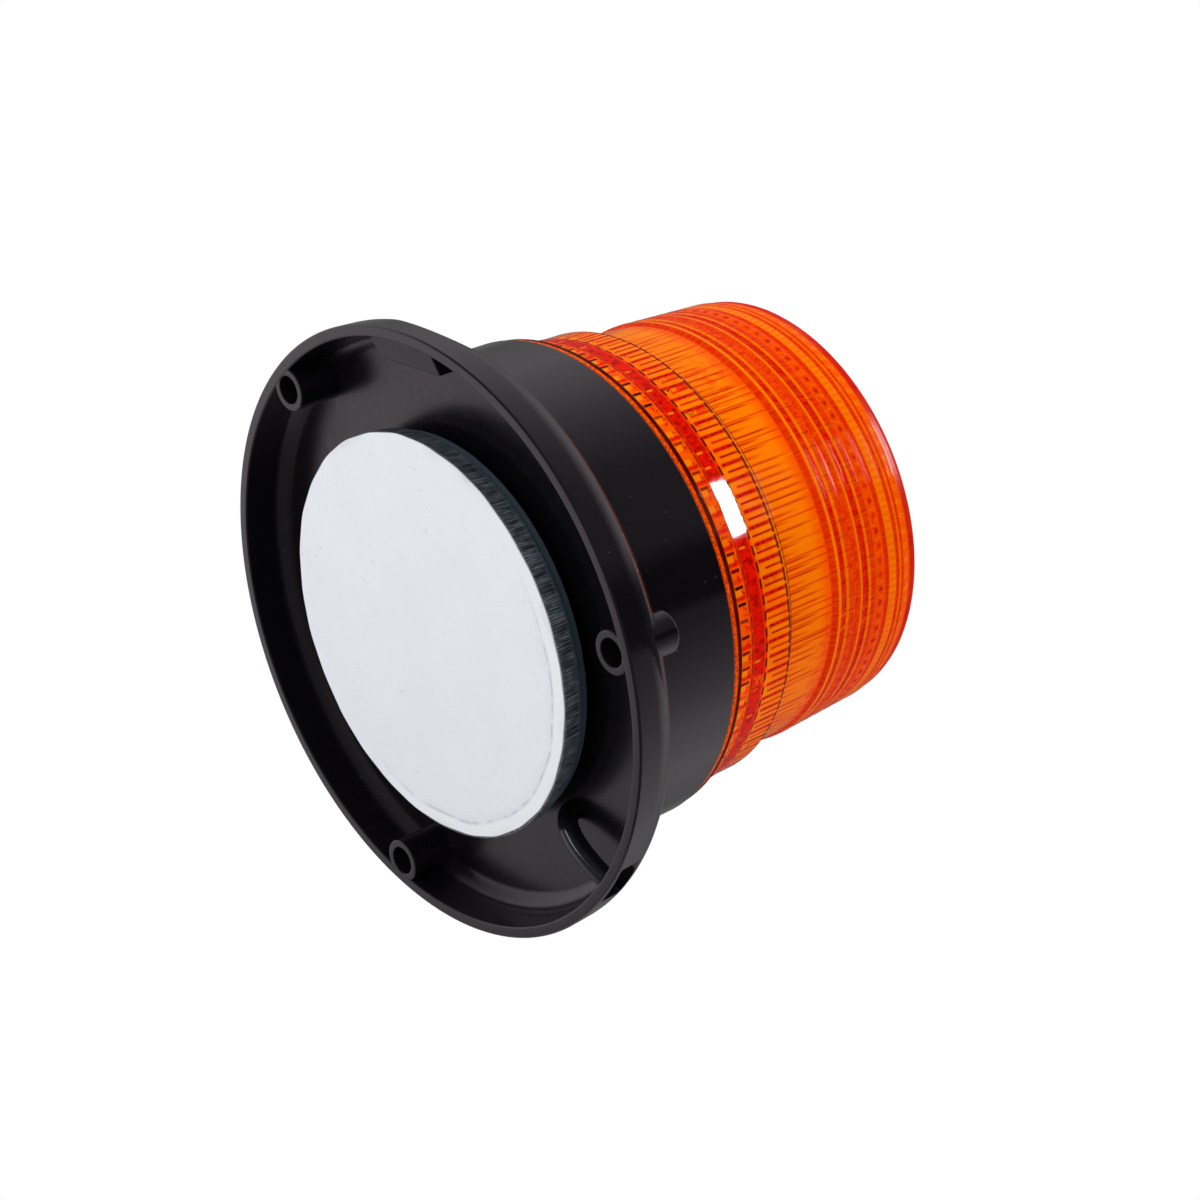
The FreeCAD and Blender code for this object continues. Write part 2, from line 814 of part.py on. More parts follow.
def make_pillars():
    stud_r = size("stud_diameter") / 2
    length = size("stud_length") + size("board_thickness") - size("seat_clearance")
    pillars = []
    screws = []
    places = ring_places(pillar_ring_r, size("pillar_angle"), size("pillar_count"))
    for index, (x, y) in enumerate(places):
        hexagon = prism(f"pillar_hexagon_{index}", size("pillar_across_corners") / 2,
                        pillar_height, x, y, board_top)
        stud = cylinder(f"pillar_stud_{index}", stud_r, length, x, y, board_top - length)
        solid = fused(f"pillar_solid_{index}", [hexagon, stud])
        bore_z = reflector_under - size("stud_length")
        bore = cylinder(f"pillar_bore_{index}", stud_r + size("seat_clearance"),
                        size("stud_length"), x, y, bore_z)
        pillars.append(cut(f"pillar_{index}", solid, bore))
        shank_length = size("stud_length") - size("seat_clearance") + size("reflector_thickness")
        shank = cylinder(f"screw_shank_{index}", stud_r, shank_length, x, y,
                         reflector_top - shank_length)
        head = cylinder(f"screw_head_{index}", size("screw_head_diameter") / 2,
                        size("screw_head_height"), x, y, reflector_top)
        screws.append(fused(f"screw_{index}", [shank, head]))
    return [group("board_pillars", pillars), group("reflector_screws", screws)]


def make_reflector():
    body = new_body("reflector")
    hub_r = holder_r + size("seat_clearance")
    floor_r = reflector_r - size("reflector_lip")
    thick = size("reflector_thickness")
    rise = size("reflector_rise")
    revolve(body, "dish", [
        (hub_r, reflector_under),
        (floor_r, reflector_under),
        (reflector_r, reflector_under + rise),
        (reflector_r, reflector_under + rise + thick / 2),
        (reflector_r - thick, reflector_under + rise + thick / 2),
        (floor_r - thick / 2, reflector_top),
        (hub_r, reflector_top),
    ])
    x, y = along(pillar_ring_r, size("pillar_angle"))
    hole_outline = new_sketch(body, "hole_outline", "XY_Plane", height=reflector_under)
    add_circle(hole_outline, size("stud_diameter") / 2 + size("seat_clearance"), x, y)
    hole = extrude(body, "hole", hole_outline, thick, "PartDesign::Pocket", True)
    ring_of(body, "holes", [hole], size("pillar_count"))
    return body


def make_flash_lamp():
    holder = new_body("tube_holder")
    edge = size("holder_height") / 10
    revolve(holder, "hub", [
        (zero, board_top),
        (holder_r, board_top),
        (holder_r, holder_top - edge),
        (holder_r - edge, holder_top),
        (zero, holder_top),
    ])
    sockets = new_sketch(holder, "socket_outline", "XY_Plane", height=socket_floor)
    socket_r = cap_r + size("seat_clearance")
    add_circle(sockets, socket_r, leg_x)
    add_circle(sockets, socket_r, -leg_x)
    extrude(holder, "sockets", sockets, size("socket_depth"), "PartDesign::Pocket", True)

    def bent_tube(name, radius):
        arch = doc.addObject("Part::Torus", f"{name}_arch")
        bind(arch, "Radius1", leg_x)
        bind(arch, "Radius2", radius)
        arch.Angle3 = 180
        arch.Placement.Rotation = FreeCAD.Rotation(FreeCAD.Vector(1, 0, 0), 90)
        move(arch, z=tube_bend_z)
        return fused(name, [
            cylinder(f"{name}_leg_a", radius, size("tube_leg"), x=leg_x, z=cap_top),
            arch,
            cylinder(f"{name}_leg_b", radius, size("tube_leg"), x=-leg_x, z=cap_top),
        ])

    glass = cut("flash_tube", bent_tube("tube_outside", tube_r),
                bent_tube("tube_inside", tube_r - size("tube_wall")))

    electrodes = []
    bands = []
    for side, x in (("a", leg_x), ("b", -leg_x)):
        cap = cylinder(f"cap_{side}", cap_r, size("cap_height"), x=x, z=socket_floor)
        rod = cylinder(f"rod_{side}", size("electrode_diameter") / 2, size("electrode_length"),
                       x=x, z=cap_top)
        electrodes.append(fused(f"electrode_{side}", [cap, rod]))
        for index in range(int(size("band_count").value)):
            z = holder_top + size("band_pitch") * (index + 0.5)
            outer = cylinder(f"band_outer_{side}{index}", tube_r + size("band_thickness"),
                             size("band_height"), x=x, z=z)
            inner = cylinder(f"band_inner_{side}{index}", tube_r, size("band_height"), x=x, z=z)
            bands.append(cut(f"band_{side}{index}", outer, inner))
    return [holder, glass, group("tube_electrodes", electrodes), group("trigger_bands", bands)]


def make_capacitor():
    radius = size("capacitor_diameter") / 2
    sideways = FreeCAD.Vector(1, 0, 0)
    return cylinder("storage_capacitor", radius, size("capacitor_length"),
                    -size("capacitor_length") / 2, size("capacitor_reach"),
                    board_top + size("seat_clearance") + radius, sideways)


def make_transformer():
    x = size("transformer_x")
    y = size("transformer_y")
    lift = (size("core_height") - size("winding_height")) / 2
    winding = block("winding_blank", size("winding_length"), size("winding_width"),
                    size("winding_height"), x, y, board_top + lift)
    window = block("winding_window", size("winding_length"), size("core_width"),
                   size("winding_height") / 2, x, y, board_top + size("core_height") / 4 + lift / 2)
    coil = cut("transformer_winding", winding, window)
    slack = size("seat_clearance")
    frame = block("core_frame", size("core_length"), size("core_width"), size("core_height"),
                  x, y, board_top)
    core_window = block("core_window", size("winding_length") + slack * 2, size("core_width"),
                        size("winding_height") + slack * 2, x, y, board_top + lift - slack)
    limb = block("core_limb", size("core_length"), size("core_width") - slack * 2,
                 size("winding_height") / 2 - slack * 2, x, y,
                 board_top + size("core_height") / 4 + lift / 2 + slack)
    ring = cut("core_ring", frame, core_window)
    return [coil, fused("transformer_core", [ring, limb])]


def make_board_parts():
    trigger = cylinder("trigger_coil", size("trigger_diameter") / 2, size("trigger_height"),
                       size("trigger_x"), zero, board_top)

    sink_x = size("sink_x")
    sink_y = size("sink_y")
    wall = size("sink_wall")
    sink = cut(
        "heat_sink",
        block("sink_blank", size("sink_length"), size("sink_depth"), size("sink_height"),
              sink_x, sink_y, board_top),
        block("sink_channel", size("sink_length") - wall * 2, size("sink_depth"),
              size("sink_height"), sink_x, sink_y + wall, board_top))
    back_y = sink_y - size("sink_depth") / 2 + wall
    transistor = block("power_transistor", size("transistor_width"), size("transistor_thickness"),
                       size("transistor_height"), sink_x,
                       back_y + size("transistor_thickness") / 2, board_top)

    chip = block("timing_chip", size("chip_length"), size("chip_width"), size("chip_height"),
                 zero, size("chip_y"), board_top)

    terminal_x = size("terminal_x")
    terminal_y = size("terminal_y")
    screw_r = size("terminal_screw_diameter") / 2
    screw_z = board_top + size("terminal_height") - size("terminal_screw_height")
    wells = []
    screws = []
    for side, y in (("a", terminal_y - size("terminal_pitch") / 2),
                    ("b", terminal_y + size("terminal_pitch") / 2)):
        wells.append(cylinder(f"well_{side}", screw_r + size("seat_clearance"),
                              size("terminal_screw_height"), terminal_x, y, screw_z))
        screws.append(cylinder(f"terminal_screw_{side}", screw_r,
                               size("terminal_screw_height"), terminal_x, y, screw_z))
    terminal = cut(
        "terminal_block",
        block("terminal_blank", size("terminal_width"), size("terminal_length"),
              size("terminal_height"), terminal_x, terminal_y, board_top),
        fused("terminal_wells", wells))

    radius = size("resistor_diameter") / 2
    sideways = FreeCAD.Vector(1, 0, 0)
    resistors = []
    for index in range(int(size("resistor_count").value)):
        y = size("resistor_y") + size("resistor_pitch") * index
        resistors.append(cylinder(f"resistor_{index}", radius, size("resistor_length"),
                                  size("resistor_x") - size("resistor_length") / 2, y,
                                  board_top + size("seat_clearance") + radius, sideways))
    return [trigger, sink, transistor, chip, terminal, group("terminal_screws", screws),
            group("resistors", resistors)]


pieces = [make_base_housing(), make_lens(), make_lens_seal()]
pieces += make_magnet()
pieces += [make_cable_sleeve(), make_circuit_board()]
pieces += make_pillars()
pieces += [make_reflector()]
pieces += make_flash_lamp()
pieces += [make_capacitor()]
pieces += make_transformer()
pieces += make_board_parts()
doc.recompute()

for item in doc.Objects:
    if "Invalid" in item.State or "Error" in item.State:
        raise RuntimeError(f"{item.Label} failed: {item.State}")
for piece in pieces:
    if piece.Shape.isNull() or not piece.Shape.isValid():
        raise RuntimeError(f"{piece.Label} has no valid solid")

os.makedirs("parts", exist_ok=True)
for piece in pieces:
    piece.Shape.exportStep(os.path.join("parts", f"{piece.Label}.step"))
    solids = len(piece.Shape.Solids)
    print(f"{piece.Label}: {solids} solid(s), {piece.Shape.Volume:.1f} mm3")
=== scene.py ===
import bmesh
import bpy
import math
from mathutils import Matrix, Vector
from mathutils.geometry import interpolate_bezier


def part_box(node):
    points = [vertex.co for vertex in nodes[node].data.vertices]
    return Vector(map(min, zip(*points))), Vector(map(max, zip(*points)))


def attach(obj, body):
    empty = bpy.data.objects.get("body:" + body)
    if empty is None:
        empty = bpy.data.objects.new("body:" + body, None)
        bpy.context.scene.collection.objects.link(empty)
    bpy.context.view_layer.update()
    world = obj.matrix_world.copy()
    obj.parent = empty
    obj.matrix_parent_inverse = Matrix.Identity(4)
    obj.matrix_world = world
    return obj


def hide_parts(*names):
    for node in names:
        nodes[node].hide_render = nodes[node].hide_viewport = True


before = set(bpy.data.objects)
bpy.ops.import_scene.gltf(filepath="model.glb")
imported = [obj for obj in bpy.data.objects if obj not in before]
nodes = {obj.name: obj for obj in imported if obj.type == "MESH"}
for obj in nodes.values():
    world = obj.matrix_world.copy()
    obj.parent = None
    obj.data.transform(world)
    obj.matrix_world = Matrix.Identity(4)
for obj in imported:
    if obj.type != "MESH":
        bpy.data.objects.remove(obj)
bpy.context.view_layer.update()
scene = bpy.context.scene
mm = 0.001
print("frame loaded:", len(nodes), "nodes")


# camera, as the photograph was taken: under the base and rolled on its side

photoView = dict(
    lens=108.89, sensor=36,                             # mm
    azimuth=114.277, elevation=-35.165, roll=68.119,    # degrees
    distance=0.82642, clipStart=0.01, aim=(-0.00272, 0.00604, 0.04715),
)


def viewAxes(azimuth, elevation, roll):
    a, e, r = (math.radians(angle) for angle in (azimuth, elevation, roll))
    back = Vector((math.sin(a) * math.cos(e), -math.cos(a) * math.cos(e), math.sin(e)))
    level = Vector((math.cos(a), math.sin(a), 0))
    upright = back.cross(level)
    right = level * math.cos(r) + upright * math.sin(r)
    return right, back.cross(right), back


rightWay, upWay, backWay = viewAxes(photoView["azimuth"], photoView["elevation"], photoView["roll"])


def placeCamera():
    data = bpy.data.cameras.new("photoCamera")
    data.lens = photoView["lens"]
    data.sensor_width = photoView["sensor"]
    data.clip_start = photoView["clipStart"]
    camera = bpy.data.objects.new("photoCamera", data)
    turn = Matrix((rightWay, upWay, backWay)).transposed().to_4x4()
    place = Vector(photoView["aim"]) + backWay * photoView["distance"]
    camera.matrix_world = Matrix.Translation(place) @ turn
    scene.collection.objects.link(camera)
    scene.camera = camera


placeCamera()
scene.view_settings.view_transform = "Standard"
print("camera placed")


# node tools: a net for each node tree, with the sums and masks that the materials share

def setInputs(node, **values):
    for label, value in values.items():
        node.inputs[label.replace("_", " ")].default_value = value


class NodeNet:
    def __init__(self, tree):
        self.tree = tree

    def add(self, kind, **values):
        node = self.tree.nodes.new(kind)
        for name, value in values.items():
            setattr(node, name, value)
        return node

    def join(self, source, target):
        self.tree.links.new(source, target)

    def feed(self, value, socket):
        if isinstance(value, (int, float)):
            socket.default_value = value
        elif isinstance(value, tuple):
            socket.default_value = (*value, 1)
        else:
            self.join(value, socket)

    def calc(self, operation, *values):
        node = self.add("ShaderNodeMath", operation=operation)
        for socket, value in zip(node.inputs, values):
            self.feed(value, socket)
        return node.outputs[0]

    def times(self, *values):
        whole = values[0]
        for value in values[1:]:
            whole = self.calc("MULTIPLY", whole, value)
        return whole

    def mixColour(self, mask, first, second):
        mix = self.add("ShaderNodeMix", data_type="RGBA")
        self.join(mask, mix.inputs[0])
        self.feed(first, mix.inputs[6])
        self.feed(second, mix.inputs[7])
        return mix.outputs[2]

    def mixValue(self, mask, first, second):
        mix = self.add("ShaderNodeMix", data_type="FLOAT")
        self.join(mask, mix.inputs[0])
        self.feed(first, mix.inputs[2])
        self.feed(second, mix.inputs[3])
        return mix.outputs[0]

    def remap(self, value, fromLow, fromHigh, toLow=0, toHigh=1, kind="LINEAR"):
        spread = self.add("ShaderNodeMapRange", interpolation_type=kind, clamp=True)
        self.join(value, spread.inputs["Value"])
        for name, number in (("From Min", fromLow), ("From Max", fromHigh),
                             ("To Min", toLow), ("To Max", toHigh)):
            self.feed(number, spread.inputs[name])
        return spread.outputs["Result"]

    def rise(self, value, edge, soft, toLow=0, toHigh=1):
        return self.remap(self.calc("SUBTRACT", value, edge), -soft, soft, toLow, toHigh, "SMOOTHSTEP")

    def between(self, value, low, high, soft):
        return self.times(self.rise(value, low, soft), self.rise(value, high, soft, 1, 0))

    def stripe(self, value, centre, width, soft):
        apart = self.calc("ABSOLUTE", self.calc("SUBTRACT", value, centre))
        return self.rise(apart, width / 2, soft, 1, 0)

    def place(self):
        return self.add("ShaderNodeTexCoord").outputs["Object"]

    def noise(self, vector, scale, detail, dimensions="3D"):
        field = self.add("ShaderNodeTexNoise", noise_dimensions=dimensions)
        self.join(vector, field.inputs["Vector"])
        self.feed(scale, field.inputs["Scale"])
        self.feed(detail, field.inputs["Detail"])
        return field.outputs["Fac"]

    # noise on a round part, drawn over its unrolled side
    def sideNoise(self, turn, height, around, upwards, scale, detail):
        unrolled = self.add("ShaderNodeCombineXYZ")
        self.join(self.calc("MULTIPLY", turn, around), unrolled.inputs[0])
        self.join(self.calc("MULTIPLY", height, upwards), unrolled.inputs[1])
        return self.noise(unrolled.outputs[0], scale, detail, "2D")

    def group(self, tree, **values):
        node = self.add("ShaderNodeGroup", node_tree=tree)
        setInputs(node, **values)
        return node

    def bump(self, shader, height, strength, distance):
        bump = self.add("ShaderNodeBump")
        setInputs(bump, Strength=strength, Distance=distance)
        self.join(height, bump.inputs["Height"])
        self.join(bump.outputs["Normal"], shader.inputs["Normal"])


def newMaterial(name):
    material = bpy.data.materials.new(name)
    material.use_nodes = True
    material.node_tree.nodes.clear()
    net = NodeNet(material.node_tree)
    shader = net.add("ShaderNodeBsdfPrincipled")
    output = net.add("ShaderNodeOutputMaterial")
    net.join(shader.outputs["BSDF"], output.inputs["Surface"])
    return material, shader, net


def newGroup(name, inputs, outputs):
    group = bpy.data.node_groups.new(name, "ShaderNodeTree")
    for label, value in inputs.items():
        socket = group.interface.new_socket(label, in_out="INPUT", socket_type="NodeSocketFloat")
        socket.default_value = value
    for label in outputs:
        group.interface.new_socket(label, in_out="OUTPUT", socket_type="NodeSocketFloat")
    net = NodeNet(group)
    return group, net.add("NodeGroupInput").outputs, net.add("NodeGroupOutput").inputs, net


# a colour as read off a screen, 0 to 255
def screen(*channels):
    return tuple((channel / 255 / 12.92) if channel < 11 else ((channel / 255 + 0.055) / 1.055) ** 2.4
                 for channel in channels)


# moulded grain: fine uneven gloss and a faint orange-peel height
grainLook = dict(fineDetail=4, broadScale=38, broadDetail=5, spread=(0.15, 0.38))


def mouldedGrainGroup():
    s = grainLook
    group, given, taken, net = newGroup(
        "mouldedGrain", dict(Scale=400.0, Smooth=0.2, Rough=0.3), ("Roughness", "Height"))
    place = net.place()
    fine = net.noise(place, given["Scale"], s["fineDetail"])
    broad = net.noise(place, s["broadScale"], s["broadDetail"])
    uneven = net.remap(net.times(fine, broad), *s["spread"], given["Smooth"], given["Rough"])
    net.join(uneven, taken["Roughness"])
    net.join(fine, taken["Height"])
    return group


# handling marks: sparse dust specks and thin scuffs, each as a mask
markLook = dict(
    speckEdge=(0.05, 0.16), speckChance=(0.86, 0.97),
    scuffStretch=(30, 420, 90), scuffLean=(0.4, 0.3, 0.7), scuffScale=1.6, scuffDetail=3, scuffEdge=(0.64, 0.72),
)


def handlingMarksGroup():
    s = markLook
    group, given, taken, net = newGroup(
        "handlingMarks", {"Speck Scale": 900.0, "Amount": 0.5}, ("Specks", "Scuffs"))
    place = net.place()
    specks = net.add("ShaderNodeTexVoronoi", feature="F1")
    net.join(place, specks.inputs["Vector"])
    net.join(given["Speck Scale"], specks.inputs["Scale"])
    chance = net.add("ShaderNodeSeparateColor")
    net.join(specks.outputs["Color"], chance.inputs["Color"])
    near = net.remap(specks.outputs["Distance"], *s["speckEdge"], 1, 0)
    some = net.remap(chance.outputs[0], *s["speckChance"])
    net.join(net.times(near, some, given["Amount"]), taken["Specks"])
    stretch = net.add("ShaderNodeMapping")
    setInputs(stretch, Scale=s["scuffStretch"], Rotation=s["scuffLean"])
    net.join(place, stretch.inputs["Vector"])
    lines = net.noise(stretch.outputs["Vector"], s["scuffScale"], s["scuffDetail"])
    net.join(net.times(net.remap(lines, *s["scuffEdge"]), given["Amount"]), taken["Scuffs"])
    return group


# place on a round part: share of a turn, reach from the axis and height, both in mm
def ringPlaceGroup():
    group, _, taken, net = newGroup("ringPlace", {}, ("Turn", "Reach", "Height"))
    axes = net.add("ShaderNodeSeparateXYZ")
    net.join(net.place(), axes.inputs[0])
    x, y, z = axes.outputs
    net.join(net.calc("DIVIDE", net.calc("ARCTAN2", y, x), math.tau), taken["Turn"])
    reach = net.calc("SQRT", net.calc("ADD", net.times(x, x), net.times(y, y)))
    net.join(net.calc("DIVIDE", reach, mm), taken["Reach"])
    net.join(net.calc("DIVIDE", z, mm), taken["Height"])
    return group


mouldedGrain = mouldedGrainGroup()
ringPlace = ringPlaceGroup()
handlingMarks = handlingMarksGroup()


def grainOf(net, finish):
    return net.group(mouldedGrain, Scale=finish["grainScale"], Smooth=finish["smooth"], Rough=finish["rough"])


# materials

blackFinish = dict(
    # tint is a warm purple cast on the reflections, painted in for the colour of the room they show
    colour=(0.0026, 0.0022, 0.003), ior=1.7, tint=(1.0, 0.82, 0.95),
    grainScale=520, smooth=0.09, rough=0.15, bump=(0.05, 0.00004),
    dust=(0.09, 0.09, 0.095), speckScale=520, marks=0.35, scuffs=0.06,
    # the bowl under the base is duller than the outside: its reach and height in mm, what it adds
    bowlReach=68.6, bowlHeight=12.2, bowlDuller=0.13, bowlSoft=0.3,
)


def blackPlastic():
    s = blackFinish
    material, shader, net = newMaterial("blackPlastic")
    grain = grainOf(net, s)
    marks = net.group(handlingMarks, Speck_Scale=s["speckScale"], Amount=s["marks"])
    dusted = net.calc("MAXIMUM", marks.outputs["Specks"], net.times(marks.outputs["Scuffs"], s["scuffs"]))
    net.join(net.mixColour(dusted, s["colour"], s["dust"]), shader.inputs["Base Color"])
    place = net.group(ringPlace)
    bowl = net.times(net.rise(place.outputs["Reach"], s["bowlReach"], s["bowlSoft"], s["bowlDuller"], 0),
                     net.rise(place.outputs["Height"], s["bowlHeight"], s["bowlSoft"], 1, 0))
    net.join(net.calc("ADD", grain.outputs["Roughness"], bowl), shader.inputs["Roughness"])
    net.bump(shader, grain.outputs["Height"], *s["bump"])
    setInputs(shader, IOR=s["ior"], Specular_Tint=(*s["tint"], 1))
    return material


# amber lens: the light and shade that its prisms show at each height, painted into its colour round the axis; the
# glow colour is painted light, the near-black colour painted shade
amberFinish = dict(
    flutes=90, halfRow=300.0, chanceSoft=0.04,
    ior=1.1, clearness=0.5, grainScale=300, smooth=0.03, rough=0.08,
    inner=(1.0, 0.9, 0.72), innerRoughness=0.16,
    glow=screen(255, 160, 6), orange=screen(255, 104, 0), deep=screen(228, 46, 0),
    red=screen(216, 2, 0), darkRed=screen(104, 1, 0), paintedShade=screen(9, 2, 0),
    # noises over the unrolled side: scale, detail, stretch round the axis, lowest and highest value used
    noises=dict(
        mottle=(1.3, 4, 420, 0.42, 0.6), blotch=(0.45, 2, 480, 0.45, 0.66), hairs=(0.12, 2, 9000, 0.45, 0.62),
        streaky=(0.5, 4, 3600, 0.4, 0.65), broad=(0.16, 3, 400, 0.35, 0.65),
        sides=(0.02, 2, 320, 0.42, 0.58),      # some sides show more dark marks than others
    ),
    # dark rings, painted shade where the prisms show dark: lowest and highest height in mm, strength, length of the
    # mark on each flute
    rings=(
        (41.5, 42.72, 0.94, 1.2), (42.98, 44.0, 0.94, 1.2), (47.18, 47.5, 0.8, 0.86), (47.75, 48.05, 0.75, 0.8),
        (51.95, 52.75, 0.9, 0.62), (59.2, 60.4, 0.85, 0.88), (62.4, 62.8, 0.75, 1.2),
    ),
    # ribs: lowest and highest height in mm, shade, strength; the glow rows are painted light along the crests
    ribs=(
        (75.1, 76.9, "deep", 0.8), (76.9, 77.7, "glow", 0.9), (77.7, 79.55, "red", 1), (79.55, 80.3, "glow", 0.6),
        (80.3, 84.1, "deep", 0.9), (84.1, 84.7, "glow", 0.7), (84.7, 86.8, "red", 1), (86.8, 87.5, "glow", 0.6),
        (87.5, 89.6, "deep", 0.9), (89.6, 92.0, "orange", 1), (92.0, 93.7, "deep", 1), (93.7, 95.9, "glow", 0.8),
        (95.9, 97.2, "deep", 1), (97.2, 97.8, "glow", 0.5), (97.8, 98.4, "red", 0.9), (98.4, 100.7, "orange", 1),
        (100.7, 112, "red", 0.75), (100.9, 112, "darkRed", 0.3),
    ),
    # feet of the ribs: lowest and highest height of the painted shade lines where the flute edges cross them
    fluteShadeLines=((75.2, 76.8), (79.7, 82.0), (86.9, 89.0)),
    # red strips of the third band: lowest foot, how far a foot may lie above it, top, softness
    tallStrip=(52.5, 0.9, 59.5, 0.25), shortStrip=(52.7, 2.2, 59.5, 0.3),
    # streaks of the waist: lowest top, how far a top may lie above it, softness
    streaks=(64.0, 11, 3.5),
    # flat top: height, softness, scale and detail of its cloud, the cloud's range and what it mixes
    top=(102.6, 0.5), topCloud=(90, 3), topMix=(0.3, 0.7, 0.4, 0.7),
    crownDull=(100.6, 0.4, 0, 0.25),           # the crown is duller than the sides
    # the second band is not quite even, so that its highlight has ragged ends
    uneven=(48.6, 52.2), unevenBump=(0.3, 0.000006),
)


def amberPlastic():
    s = amberFinish
    material, shader, net = newMaterial("amberPlastic")
    place = net.group(ringPlace)
    turn, height = place.outputs["Turn"], place.outputs["Height"]

    def zone(low, high, soft=0.12):
        return net.between(height, low, high, soft)

    # place within each flute and three chances for it
    def cells(count, row=0.0):
        along = net.calc("MULTIPLY", turn, count)
        chance = net.add("ShaderNodeTexWhiteNoise", noise_dimensions="1D")
        net.join(net.calc("ADD", net.calc("FLOOR", along), row), chance.inputs["W"])
        shades = net.add("ShaderNodeSeparateColor")
        net.join(chance.outputs["Color"], shades.inputs[0])
        return net.calc("FRACT", along), *shades.outputs

    def sideNoise(scale, detail, stretch, low, high):
        return net.remap(net.sideNoise(turn, height, stretch, 1, scale, detail), low, high)

    cell, first, second, third = cells(s["flutes"])
    fine, one, two, three = cells(2 * s["flutes"], s["halfRow"])
    mottle, blotch, hairs, streaky, broad, sides = (sideNoise(*look) for look in s["noises"].values())
    colour = net.mixColour(broad, s["deep"], s["orange"])

    # one painted mark: its shade and strength, its mask, and what breaks it up: a bar on each flute or
    # half flute (centre, width, softness, as shares of it), the share of flutes that have it, noises
    def mark(shade, strength, mask, bar=None, half=False, some=None, by=()):
        nonlocal colour
        masks = [mask, *by]
        if bar:
            masks.append(net.stripe(fine if half else cell, *bar))
        if some:
            chance, share = some
            masks.append(net.rise(chance, 1 - share, s["chanceSoft"]))
        if strength != 1:
            masks.append(strength)
        colour = net.mixColour(net.times(*masks), colour, s[shade])

    # seating flange
    mark("orange", 0.8, zone(33, 41.6))
    mark("darkRed", 0.6, zone(33, 41.6), by=(mottle,))

    # first band: bright teeth of painted light, ragged red between them and black ticks of painted shade
    mark("orange", 1, zone(43.9, 47.1))
    mark("red", 1, zone(45.3, 47.0, 0.3), bar=(0.62, 0.62, 0.12), by=(mottle,))
    mark("red", 0.85, zone(44.0, 46.9), bar=(0.78, 0.3, 0.08), some=(first, 0.5))
    mark("glow", 0.8, zone(44.0, 45.8), bar=(0.45, 0.4, 0.08), some=(third, 0.7))
    mark("paintedShade", 1, zone(44.2, 46.6), bar=(0.16, 0.2, 0.05), some=(second, 0.85), by=(sides,))
    mark("darkRed", 0.9, zone(44.2, 46.6), bar=(0.16, 0.2, 0.05), some=(second, 0.4))
    mark("deep", 0.7, zone(46.95, 48.3, 0.1))

    # second band: red, mottled with darker streaks and a few bright lines of painted light
    mark("red", 1, zone(48.2, 52.0))
    mark("deep", 0.45, zone(48.2, 51.9), by=(streaky,))
    mark("darkRed", 0.6, zone(48.3, 51.8, 0.3), by=(blotch,))
    mark("orange", 0.8, zone(48.4, 51.7), bar=(0.5, 0.7, 0.1), some=(second, 0.12), by=(mottle,))
    mark("glow", 0.9, zone(48.6, 50.2, 0.4), bar=(0.1, 0.12, 0.05), some=(third, 0.25))
    mark("orange", 0.5, zone(51.55, 51.75, 0.08))

    # third band: tall strips, a thick and a thin red one to each flute, with glow laid over the band as painted
    # light and near-black marks low down as painted shade
    def strip(chance, foot, ragged, top, soft):
        return net.between(height, net.calc("ADD", net.calc("MULTIPLY", chance, ragged), foot), top, soft)

    tall, short = strip(first, *s["tallStrip"]), strip(second, *s["shortStrip"])
    mark("orange", 1, zone(52.75, 59.4))
    mark("glow", 0.8, zone(52.75, 59.4), by=(net.remap(broad, 0, 1, 0.4, 1),))
    mark("red", 0.9, zone(55.9, 59.4, 0.2), bar=(0.5, 0.5, 0.05), some=(third, 0.45), by=(sides,))
    mark("paintedShade", 0.9, zone(53.3, 55.4, 0.3), bar=(0.4, 0.42, 0.1), some=(third, 0.7), by=(sides, mottle))
    mark("red", 0.95, tall, bar=(0.25, 0.28, 0.07))
    mark("darkRed", 0.85, tall, bar=(0.25, 0.14, 0.06), by=(mottle,))
    mark("red", 0.9, short, bar=(0.74, 0.17, 0.06))
    mark("darkRed", 0.7, short, bar=(0.74, 0.08, 0.04), some=(first, 0.5))

    # neck and waist: thin streaks that fade upwards, with glow painted as light on the neck and low on the waist
    lowest, spread, soft = s["streaks"]
    streakTop = net.calc("ADD", net.calc("MULTIPLY", one, spread), lowest)
    fade = net.calc("SUBTRACT", 1, net.rise(height, streakTop, soft))
    mark("orange", 1, zone(60.1, 75.3, 0.2))
    mark("glow", 0.65, zone(60.1, 73.0, 2.0))
    mark("deep", 0.55, zone(65.0, 75.3, 2.0), by=(blotch, sides))
    mark("glow", 0.8, zone(60.3, 62.5, 0.2))
    mark("red", 0.8, zone(60.2, 75.0), bar=(0.5, 0.32, 0.16), half=True, by=(fade,))
    mark("darkRed", 0.5, zone(62.6, 72.0, 1.0), bar=(0.5, 0.14, 0.08), half=True, some=(two, 0.6), by=(fade,))
    mark("deep", 0.9, zone(62.6, 75.2, 0.5), bar=(0.15, 0.2, 0.1), half=True, some=(two, 0.35))
    mark("glow", 0.8, zone(62.6, 75.2, 0.5), bar=(0.8, 0.14, 0.08), half=True, some=(three, 0.2))
